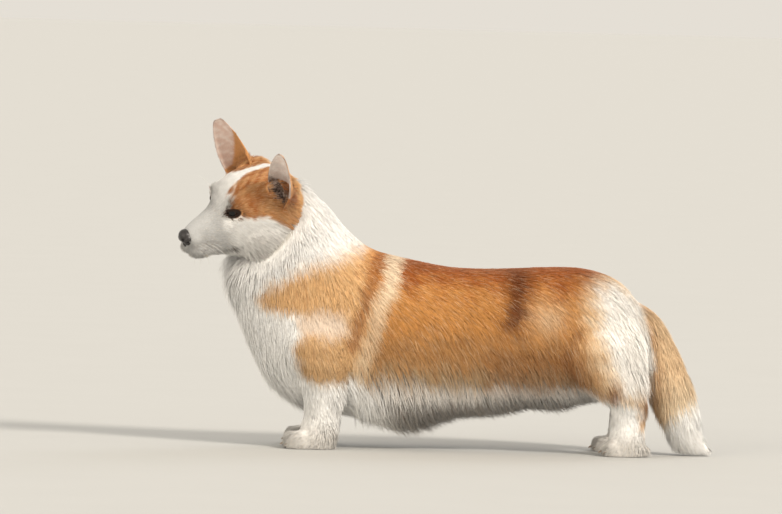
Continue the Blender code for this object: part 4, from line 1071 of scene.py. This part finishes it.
class Hide:
    """The skin's triangles, and what the coat needs to know at its vertices."""

    def __init__(self, obj, head_tree):
        mesh = obj.data
        mesh.calc_loop_triangles()
        self.corners = read(mesh.loop_triangles, "vertices", 3, np.int32)
        loops = read(mesh.loop_triangles, "loops", 3, np.int32)
        self.uv = read(mesh.uv_layers["OFBake"].data, "uv", 2)[loops].astype(float)
        self.points = coordinates(mesh)
        self.normals = directions(mesh)
        self.in_head = to_head(self.points)
        self.on_head = near(self.points, head_tree, 0.0001).astype(float)
        self.on_ear = np.zeros(len(self.points))
        for side in (1, -1):
            root, _, up, _ = (np.array(value) for value in ear_frame(side))
            height = (self.in_head - root) @ up
            near_axis = np.linalg.norm(self.in_head - root - height[:, None] * up, axis=1) < EAR_REACH
            aside = self.in_head[:, 1] * side > EAR_ASIDE
            self.on_ear[(height > EAR_START) & near_axis & aside] = side
        self.mark()
        self.comb()

    def mark(self):
        """Colours every vertex."""
        colour = mix(body_marks(self.points - np.array(CENTRE)), head_marks(self.in_head), self.on_head)
        normals = self.normals @ np.array(head_matrix().inverted())[:3, :3].T
        for side in (1, -1):
            chosen = self.on_ear == side
            colour[chosen] = ear_marks(self.in_head[chosen], normals[chosen], side)
        # Painted shadow: the neck under the back edge of each cheek is darkened towards taupe
        shade = np.exp(-((from_cheek(self.in_head) - 1.02) / 0.16) ** 2)
        shade *= ease(-self.in_head[:, 2], 0.015, 0.045)
        colour = mix(colour, NECK_SHADOW_TAUPE, 0.55 * shade * (self.on_head < 0.5))
        start, end = (np.array(p) for p in EAR_HAIR)
        along = ((self.in_head - start) @ (end - start) / ((end - start) @ (end - start))).clip(0, 1)
        away = np.linalg.norm(self.in_head - start - along[:, None] * (end - start), axis=1)
        mottled = 0.78 + 0.50 * wobble(self.in_head, 0.0035, 12)
        inside = ease(-away, -0.0110, -0.0085) * (self.on_head > 0.5)
        colour = mix(colour, mix(EAR_PINK, DARK, mottled.clip(0, 0.95)), inside)
        self.colour = colour.clip(DARKEST, 1)

    def comb(self):
        """Gives every vertex its coat's lie, length, lift and width."""
        body = follow(self.points - np.array(CENTRE), BODY_COAT)
        head = follow(self.in_head, HEAD_COAT)
        outward = np.array(head_matrix())[:3, :3]
        head[:, :3] = head[:, :3] @ outward.T
        self.field = mix(body, head, self.on_head)
        for side in (1, -1):
            root, height, up, _ = (np.array(value) for value in ear_frame(side))
            chosen = self.on_ear == side
            share = (self.in_head[chosen] - root) @ up / height
            rows = np.tile((*(outward @ up), *EAR_COAT), (chosen.sum(), 1))
            rows[:, 3] -= 0.0040 * ease(share, 0.55, 0.90)
            self.field[chosen] = rows

    def pick(self, weights, count, rng):
        """Points on the skin at random, with their normals, fields, colours and bake places."""
        a, b, c = (self.points[self.corners[:, k]] for k in range(3))
        area = 0.5 * np.linalg.norm(np.cross(b - a, c - a), axis=1)
        share = area * weights[self.corners].mean(1)
        chosen = rng.choice(len(share), count, p=share / share.sum())
        first, second = rng.random((2, count))
        flip = first + second > 1
        first[flip], second[flip] = 1 - first[flip], 1 - second[flip]
        parts = np.stack([1 - first - second, first, second], 1)[:, :, None]
        corners = self.corners[chosen]
        found = [(values[corners] * parts).sum(1) for values in
                 (self.points, self.normals, self.field, self.colour)]
        return found + [(self.uv[chosen] * parts).sum(1), self.on_head[corners[:, 0]]]


def stray(points, rng, amounts, seed):
    """How far each tuft is off its guide, partly by chance and partly with its place."""
    chance, by_place, size = amounts
    return (rng.normal(0, chance, len(points)) + by_place * wobble(points, size, seed))[:, None]


def some(rng, count, amounts):
    """An amount for each tuft: nothing for most, and something for a share of them."""
    share, least, most = amounts
    return (rng.random(count) < share)[:, None] * rng.uniform(least, most, count)[:, None]


def grow(points, normals, field, colours, places, rings, rng):
    """Thin tufts with a ridge, pointed at both ends, as arrays of points, triangles, colours, bake places
    and shading normals, which follow the skin so that the coat looks soft."""
    count = len(points)
    normals = normals / np.linalg.norm(normals, axis=1)[:, None]
    lie = field[:, :3] - normals * (field[:, :3] * normals).sum(1)[:, None]
    lie /= np.linalg.norm(lie, axis=1)[:, None] + 1e-9
    side = np.cross(lie, normals)
    turn = stray(points, rng, TURNS, 8)
    lie = lie * np.cos(turn) + side * np.sin(turn)
    side = np.cross(lie, normals)
    spreads = [rng.uniform(*spread, count) for spread in (LENGTHS, LIFTS, WIDTHS)]
    length, lift, width = (field[:, 3:].T * spreads)[:, :, None]
    bend = stray(points, rng, BENDS, 9)
    drop = np.array((0.0, 0.0, -DROP))
    rows = []
    shades = []
    shares = np.linspace(0, 1, rings + 2)
    for k, t in enumerate(shares):
        middle = points - normals * ROOT_DEPTH + lie * length * t + side * length * bend * t * t
        middle = middle + normals * length * lift * math.sin(0.55 * math.pi * t) + drop * length * t * t
        if 0 < k <= rings:
            half = width * RING_WIDTHS[k - 1]
            rows += [middle + side * half, middle + normals * half * RIDGE, middle - side * half]
            shades += [normals * SOFTNESS + side * (1 - SOFTNESS), normals,
                       normals * SOFTNESS - side * (1 - SOFTNESS)]
        else:
            rows.append(middle)
            shades.append(normals)
    made = np.stack(rows, 1)
    made[:, :, 2] = np.maximum(made[:, :, 2], ABOVE_FLOOR)
    each = 3 * rings + 2
    faces = [(0, 1 + j, 1 + (j + 1) % 3) for j in range(3)]
    for k in range(rings - 1):
        for j in range(3):
            a, b = 1 + 3 * k + j, 1 + 3 * k + (j + 1) % 3
            faces += [(a, a + 3, b + 3), (a, b + 3, b)]
    last = 3 * rings - 2
    faces += [(last + j, each - 1, last + (j + 1) % 3) for j in range(3)]
    triangles = (np.array(faces)[None] + (np.arange(count) * each)[:, None, None]).reshape(-1, 3)
    along = np.concatenate([(0.0,), np.repeat(shares[1:-1], 3), (1.0,)])
    shade = (1 + rng.normal(0, 0.07, count)).clip(0.65, 1.3)[:, None, None]
    paler = some(rng, count, PALER)
    darker = some(rng, count, DARKER)
    darker *= 1 - ease(colours[:, 2:], 0.35, 0.60)
    colours = colours * (1 - darker) + colours * BROWN * darker * 2
    colours = colours + (CREAM - colours) * paler * (colours < CREAM)
    colour = colours[:, None] * shade * (0.90 + 0.14 * along)[None, :, None]
    across = np.concatenate([(0.5,), np.tile((0.0, 0.5, 1.0), rings), (0.5,)])
    patch = np.stack([across, along], 1)[None] * PATCH + places[:, None]
    shades = np.stack(shades, 1).reshape(-1, 3)
    shades /= np.linalg.norm(shades, axis=1)[:, None]
    return made.reshape(-1, 3), triangles, colour.reshape(-1, 3).clip(0, 1), patch.reshape(-1, 2), shades


def from_arrays(name, points, triangles, colours, uv, shades):
    mesh = bpy.data.meshes.new(name)
    mesh.vertices.add(len(points))
    mesh.vertices.foreach_set("co", points.astype(np.float32).ravel())
    mesh.loops.add(len(triangles) * 3)
    mesh.loops.foreach_set("vertex_index", triangles.astype(np.int32).ravel())
    mesh.polygons.add(len(triangles))
    mesh.polygons.foreach_set("loop_start", np.arange(0, len(triangles) * 3, 3, dtype=np.int32))
    mesh.polygons.foreach_set("use_smooth", np.ones(len(triangles), bool))
    layer = mesh.uv_layers.new(name="OFBake")
    layer.data.foreach_set("uv", uv[triangles.ravel()].astype(np.float32).ravel())
    mesh.update(calc_edges=True)
    mesh.normals_split_custom_set_from_vertices(shades.tolist())
    paint(mesh, colours)
    return object_of(name, mesh)


def paint(mesh, colours):
    """Stores a linear colour at each vertex for the coat's material."""
    layer = mesh.color_attributes.new(name="Fur", type="FLOAT_COLOR", domain="POINT")
    values = np.ones((len(colours), 4), np.float32)
    values[:, :3] = colours
    layer.data.foreach_set("color", values.ravel())


def add_node(tree, kind, links=(), **settings):
    """Adds a node with its settings, and links outputs of other nodes to its inputs."""
    node = tree.nodes.new(kind)
    for key, value in settings.items():
        if key in node.inputs:
            node.inputs[key].default_value = value
        else:
            setattr(node, key.replace(" ", "_"), value)
    for source, output, target in links:
        tree.links.new(source.outputs[output], node.inputs[target])
    return node


def new_material(name, **values):
    """A material with its surface's constant values set, an underscore standing for a space."""
    material = bpy.data.materials.new(name)
    material.use_nodes = True
    surface = material.node_tree.nodes["Principled BSDF"]
    for key, value in values.items():
        surface.inputs[key.replace("_", " ")].default_value = value
    return material, material.node_tree, surface


def clouded(name, kind, scale, tones, **values):
    """A material that drifts between two tones with a texture, and what its bump needs."""
    material, tree, surface = new_material(name, **values)
    place = add_node(tree, "ShaderNodeTexCoord")
    texture = add_node(tree, "ShaderNodeTex" + kind, ((place, "Object", "Vector"),), Scale=scale)
    output = "Distance" if kind == "Voronoi" else "Fac"
    colour = add_node(tree, "ShaderNodeValToRGB", ((texture, output, "Fac"),))
    for stop, tone in zip(colour.color_ramp.elements, tones):
        stop.color = (*linear(tone), 1)
    tree.links.new(colour.outputs["Color"], surface.inputs["Base Color"])
    return material, tree, surface, texture


def coat_material(name, roughness, grain, strength):
    """Dog hair: soft, almost without gloss, with a faint silky sheen along the back."""
    material, tree, surface = new_material(
        name, Roughness=roughness, Specular_IOR_Level=0.15, Sheen_Weight=0.06, Sheen_Roughness=0.5)
    fur = add_node(tree, "ShaderNodeAttribute", attribute_name="Fur")
    place = add_node(tree, "ShaderNodeTexCoord")
    noise = add_node(tree, "ShaderNodeTexNoise", ((place, "Object", "Vector"),), Scale=grain, Detail=3.0)
    shade = add_node(tree, "ShaderNodeMapRange", ((noise, "Fac", "Value"),))
    shade.inputs["To Min"].default_value = 0.86
    shade.inputs["To Max"].default_value = 1.12
    tint = add_node(tree, "ShaderNodeVectorMath", ((fur, "Color", "Vector"), (shade, "Result", "Scale")),
                    operation="SCALE")
    tree.links.new(tint.outputs["Vector"], surface.inputs["Base Color"])
    bump = add_node(tree, "ShaderNodeBump", ((noise, "Fac", "Height"),), Strength=strength, Distance=0.001)
    tree.links.new(bump.outputs["Normal"], surface.inputs["Normal"])
    return material


def nose_material():
    """Moist hairless nose leather: near black, pebbled about every millimetre, with a soft gloss."""
    material, tree, surface, cells = clouded(
        "nose_leather", "Voronoi", 900.0, ("1B1817", "2E2A29"),
        Roughness=0.38, Coat_Weight=0.15, Coat_Roughness=0.2)
    bump = add_node(tree, "ShaderNodeBump", ((cells, "Distance", "Height"),), Strength=0.5, Distance=0.0005)
    tree.links.new(bump.outputs["Normal"], surface.inputs["Normal"])
    return material


def eye_material():
    """A wet eyeball: a dark brown iris round a black pupil, under a clear glossy cornea."""
    material, tree, surface = new_material(
        "eye_cornea", Roughness=0.10, Specular_IOR_Level=0.30, Coat_Weight=0.15, Coat_Roughness=0.03)
    fur = add_node(tree, "ShaderNodeAttribute", attribute_name="Fur")
    tree.links.new(fur.outputs["Color"], surface.inputs["Base Color"])
    return material


def horn_material():
    """Claw horn: smooth and slightly glossy, clouded grey brown."""
    return clouded("claw_horn", "Noise", 300.0, ("7A6A5C", "A89684"), Roughness=0.35)[0]


def whisker_material():
    """Whisker keratin: stiff pale hair, smoother and glossier than the coat, clouded along its length."""
    return clouded("whisker_keratin", "Noise", 250.0, ("C9C7C4", "E9E8E5"), Roughness=0.45)[0]


def floor_material():
    """Matt painted studio floor, pale and almost even."""
    return clouded("studio_floor", "Noise", 6.0, ("BFBFBC", "C2C2BF"), Roughness=0.9)[0]


def smooth(obj, material):
    obj.data.polygons.foreach_set("use_smooth", np.ones(len(obj.data.polygons), bool))
    obj.data.materials.clear()
    obj.data.materials.append(material)
    obj.data.update()


def unwrap(obj):
    """Unwraps the piece's own shape on a map named OFBake."""
    obj.data.uv_layers.new(name="OFBake")
    bpy.context.view_layer.objects.active = obj
    obj.select_set(True)
    bpy.ops.object.mode_set(mode="EDIT")
    bpy.ops.mesh.select_all(action="SELECT")
    bpy.ops.uv.smart_project(angle_limit=math.radians(66), island_margin=0.001)
    bpy.ops.object.mode_set(mode="OBJECT")
    obj.select_set(False)


def near(points, tree, reach):
    """Whether each point lies on the surface that the tree holds."""
    return np.array([tree.find_nearest(Vector(p), reach)[0] is not None for p in points])


def tree_of(obj):
    mesh = obj.data
    return BVHTree.FromPolygons([v.co for v in mesh.vertices], [p.vertices for p in mesh.polygons])


def eyeball(side, word):
    """The eyeball with its iris and pupil coloured by their distance from its axis."""
    place = eye_matrix(side)
    centre = place.translation
    ball = ellipsoid("eyeball_" + word, centre, (EYE_RADIUS,) * 3, 40, 64)
    out = np.array(place.to_3x3() @ Vector((0, 0, 1)))
    away = (coordinates(ball.data) - np.array(centre)) @ out / EYE_RADIUS
    colour = mix(linear("1C1512"), linear("2A170C"), ease(away, 0.66, 0.72))
    colour = mix(colour, linear("040303"), ease(away, 0.88, 0.92))
    ball.data.transform(head_matrix())
    paint(ball.data, colour)
    return ball


def claw(x, y, z):
    """A curved horn cone that points forward and down."""
    rings = []
    for share in (-0.3, 0.0, 0.3, 0.6, 0.85):
        radius = CLAW_LENGTH * 0.22 * (1 - 0.85 * max(share, 0))
        centre = Vector((x - CLAW_LENGTH * share, y, z - CLAW_LENGTH * 0.5 * max(share, 0) ** 1.6))
        rings.append([centre + Vector((0, radius * cos * 0.8, radius * sin)) for cos, sin in circle(12)])
    return loft("claw", rings)


def claws():
    found = []
    for side in (-1, 1):
        for sizes, shift in ((FORE_PAW, 0.0), (HIND_PAW, FAR_PAW_SHIFT if side == 1 else 0.0)):
            x, y, length, width, height = sizes
            for across, ahead in PAW_TOES:
                found.append(claw(x + shift + (ahead - 0.435) * length, -side * y + across * width,
                                  0.30 * height))
    obj = join("claws", found)
    obj.data.transform(Matrix.Translation(CENTRE))
    return obj


def whisker_tree():
    """Tapered bristles on points, along each point's direction, bent by their own weight."""
    tree = bpy.data.node_groups.new("whiskers", "GeometryNodeTree")
    for name, kind in (("Roots", "Geometry"), ("Length", "Float"), ("Thickness", "Float"),
                       ("Bend", "Float"), ("Seed", "Int"), ("Hair", "Material")):
        tree.interface.new_socket(name, in_out="INPUT", socket_type="NodeSocket" + kind)
    tree.interface.new_socket("Geometry", in_out="OUTPUT", socket_type="NodeSocketGeometry")
    given = add_node(tree, "NodeGroupInput")
    tip = add_node(tree, "ShaderNodeCombineXYZ", ((given, "Bend", "X"),), Z=0.97)
    line = add_node(tree, "GeometryNodeCurveQuadraticBezier", ((tip, "Vector", "End"),),
                    Resolution=8, Start=(0, 0, 0), Middle=(0, 0, 0.5))
    along = add_node(tree, "GeometryNodeSplineParameter")
    taper = add_node(tree, "ShaderNodeMapRange", ((along, "Factor", "Value"),))
    taper.inputs["To Min"].default_value = 1.0
    taper.inputs["To Max"].default_value = 0.15
    thin = add_node(tree, "GeometryNodeSetCurveRadius",
                    ((line, "Curve", "Curve"), (taper, "Result", "Radius")))
    slim = add_node(tree, "ShaderNodeMath", ((given, "Thickness", 0), (given, "Length", 1)),
                    operation="DIVIDE")
    half = add_node(tree, "ShaderNodeMath", ((slim, "Value", 0),), operation="MULTIPLY")
    half.inputs[1].default_value = 0.5
    ring = add_node(tree, "GeometryNodeCurvePrimitiveCircle", ((half, "Value", "Radius"),), Resolution=6)
    bristle = add_node(tree, "GeometryNodeCurveToMesh",
                       ((thin, "Curve", "Curve"), (ring, "Curve", "Profile Curve")))
    bristle.inputs["Fill Caps"].default_value = True
    lie = add_node(tree, "GeometryNodeInputNamedAttribute", data_type="FLOAT_VECTOR", Name="lie")
    aim = add_node(tree, "FunctionNodeAlignRotationToVector", ((lie, "Attribute", "Vector"),), axis="Z")
    hang = add_node(tree, "FunctionNodeAlignRotationToVector", ((aim, "Rotation", "Rotation"),),
                    axis="X", pivot_axis="Z", Vector=(0, 0, -1))
    varied = add_node(tree, "FunctionNodeRandomValue", ((given, "Seed", "Seed"),), data_type="FLOAT")
    varied.inputs[2].default_value = 0.6
    varied.inputs[3].default_value = 1.1
    size = add_node(tree, "ShaderNodeMath", ((varied, 1, 0), (given, "Length", 1)), operation="MULTIPLY")
    placed = add_node(tree, "GeometryNodeInstanceOnPoints", (
        (given, "Roots", "Points"), (bristle, "Mesh", "Instance"), (hang, "Rotation", "Rotation"),
        (size, "Value", "Scale")))
    real = add_node(tree, "GeometryNodeRealizeInstances", ((placed, "Instances", "Geometry"),))
    dressed = add_node(tree, "GeometryNodeSetMaterial",
                       ((real, "Geometry", "Geometry"), (given, "Hair", "Material")))
    add_node(tree, "NodeGroupOutput", ((dressed, "Geometry", "Geometry"),))
    return tree


def whiskers(skin, hair):
    """Whiskers on both sides of the muzzle, over the eyes and under the chin."""
    surface = tree_of(skin)
    to_dog = head_matrix()
    roots = []
    lies = []
    for (x, y, z), (ahead, out, up) in WHISKER_ROOTS:
        for side in (-1, 1):
            place, normal, _, _ = surface.find_nearest(to_dog @ Vector((x, side * y, z)))
            roots.append(place - normal * 0.0005)
            lie = to_dog.to_3x3() @ Vector((ahead, side * out, up)).normalized()
            lies.append((lie + normal * 0.35).normalized())
    mesh = bpy.data.meshes.new("whiskers")
    mesh.from_pydata(roots, [], [])
    lie = mesh.attributes.new("lie", "FLOAT_VECTOR", "POINT")
    lie.data.foreach_set("vector", np.array(lies, np.float32).ravel())
    obj = object_of("whiskers", mesh)
    step = obj.modifiers.new("whiskers", "NODES")
    step.node_group = whisker_tree()
    values = {"Length": WHISKER_LENGTH, "Thickness": WHISKER_THICK, "Bend": WHISKER_BEND,
              "Seed": SEED, "Hair": hair}
    for socket in step.node_group.interface.items_tree:
        if socket.name in values:
            step[socket.identifier] = values[socket.name]
    return settle(obj)


def tuft_weights(hide):
    """How thickly tufts stand at each vertex: thinner where they are long or wide, none on the lids."""
    x, y, z = hide.points.T
    darkness, front = BARE_SKIN
    rims = (hide.colour.sum(1) < darkness) & (hide.in_head[:, 0] > front)
    lie = hide.field[:, :3]
    steep = np.abs((lie * hide.normals).sum(1)) > STEEP * np.linalg.norm(lie, axis=1)
    weights = (z >= SOLE_HEIGHT) * ~rims / (hide.field[:, 3] * hide.field[:, 5])
    weights[steep & (hide.on_ear != 0)] = 0
    for side in (1, -1):
        weights[np.linalg.norm(hide.in_head - EAR_TIP[side], axis=1) < EAR_TIP_BARE] = 0
    weights *= 1 - HEAD_FEWER * hide.on_head
    more, behind, aside = TAIL_MORE
    return weights * (1 + more * ((x > behind) & (np.abs(y - CENTRE.y) < aside)))


def coat_pieces(hide, coat):
    """Sets tufts all over the skin and gathers them in pieces by where they grow."""
    rng = np.random.default_rng(SEED)
    points, normals, field, colours, places, on_head = hide.pick(tuft_weights(hide), TUFTS, rng)
    x, y, z = points.T
    length = field[:, 3:4] / np.linalg.norm(field[:, :3], axis=1)[:, None]
    seen = points + field[:, :3] * length * SHOWING - np.array(CENTRE)
    colours = np.where(on_head[:, None] > 0.5, colours, body_marks(seen).clip(DARKEST, 1))
    group = np.where(x < -TRUNK_END, 2, np.where(x < TRUNK_END, 4, 6)) + (y > CENTRE.y)
    tail = (x > TAIL_CUT[0]) & (np.abs(y - CENTRE.y) < TAIL_CUT[1])
    group = np.where(tail, COAT_NAMES.index("tail"), group)
    group = np.where(z < LEG_CUT, COAT_NAMES.index("legs"), group)
    group = np.where(on_head > 0.5, to_head(points)[:, 1] < 0, group)
    made = []
    for k, name in enumerate(COAT_NAMES):
        members = np.flatnonzero(group == k)
        rings = 2 if name == "tail" else 1
        limit = PIECE_LIMIT // (6 * rings)
        for part in range(0, len(members), limit):
            own = members[part:part + limit]
            arrays = grow(points[own], normals[own], field[own], colours[own], places[own], rings, rng)
            piece = from_arrays(f"coat_{name}_{part // limit + 1}", *arrays)
            piece.data.materials.append(coat)
            made.append(piece)
    return made


def camera_and_lights():
    """The photograph's long lens and low, almost level view, and soft studio light from the right."""
    lens = bpy.data.cameras.new("camera")
    lens.lens = LENS
    lens.sensor_width = 36
    lens.clip_end = 200
    camera = bpy.data.objects.new("camera", lens)
    camera.location = CAMERA_AT
    back = (camera.location - CAMERA_TARGET).normalized()
    camera.rotation_mode = "QUATERNION"
    roll = Matrix.Rotation(CAMERA_ROLL, 4, "Z")
    camera.rotation_quaternion = (back.to_track_quat("Z", "Y").to_matrix().to_4x4() @ roll).to_quaternion()
    bpy.context.scene.collection.objects.link(camera)
    bpy.context.scene.camera = camera
    for name, place, spread, energy, tone in SUNS:
        light = bpy.data.lights.new(name, "SUN")
        light.angle = math.radians(spread)
        light.energy = energy
        light.color = linear(tone)
        lamp = bpy.data.objects.new(name, light)
        lamp.rotation_mode = "QUATERNION"
        lamp.rotation_quaternion = Vector(place).to_track_quat("Z", "Y")
        bpy.context.scene.collection.objects.link(lamp)
    world = bpy.data.worlds.new("studio")
    world.use_nodes = True
    sky = world.node_tree.nodes["Background"].inputs
    sky["Color"].default_value = (*linear(SKY_COLOUR), 1)
    sky["Strength"].default_value = SKY_STRENGTH
    bpy.context.scene.world = world
    bpy.context.scene.view_settings.view_transform = "Standard"


def studio_floor():
    points = [(FLOOR_RADIUS * cos, FLOOR_RADIUS * sin, -0.0002) for cos, sin in circle(64)]
    floor = new_object("floor", points, [tuple(range(len(points)))])
    smooth(floor, floor_material())


def main():
    camera_and_lights()
    studio_floor()
    head = head_skin()
    head_tree = tree_of(head)
    skin = boolean(body_skin(), head, "UNION")
    skin.name = "skin"
    unwrap(skin)
    hide = Hide(skin, head_tree)
    paint(skin.data, hide.colour)
    smooth(skin, coat_material("short_underfur", 0.85, 500.0, 0.6))
    pieces = coat_pieces(hide, coat_material("dog_hair", 0.75, 260.0, 0.0))
    pad = nose()
    pad.data.transform(head_matrix())
    smooth(pad, nose_material())
    pieces.append(whiskers(skin, whisker_material()))
    horns = claws()
    smooth(horns, horn_material())
    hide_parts(*(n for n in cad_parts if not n.startswith(("nose", "eye"))))
    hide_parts("nose")
    eye_gloss = eye_material()
    for side, word in ((1, "left"), (-1, "right")):
        ball = eyeball(side, word)
        smooth(ball, eye_gloss)
        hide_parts("eye_" + word)
        pieces.append(ball)
    for piece in pieces + [skin, pad, horns]:
        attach(piece, "root")


main()
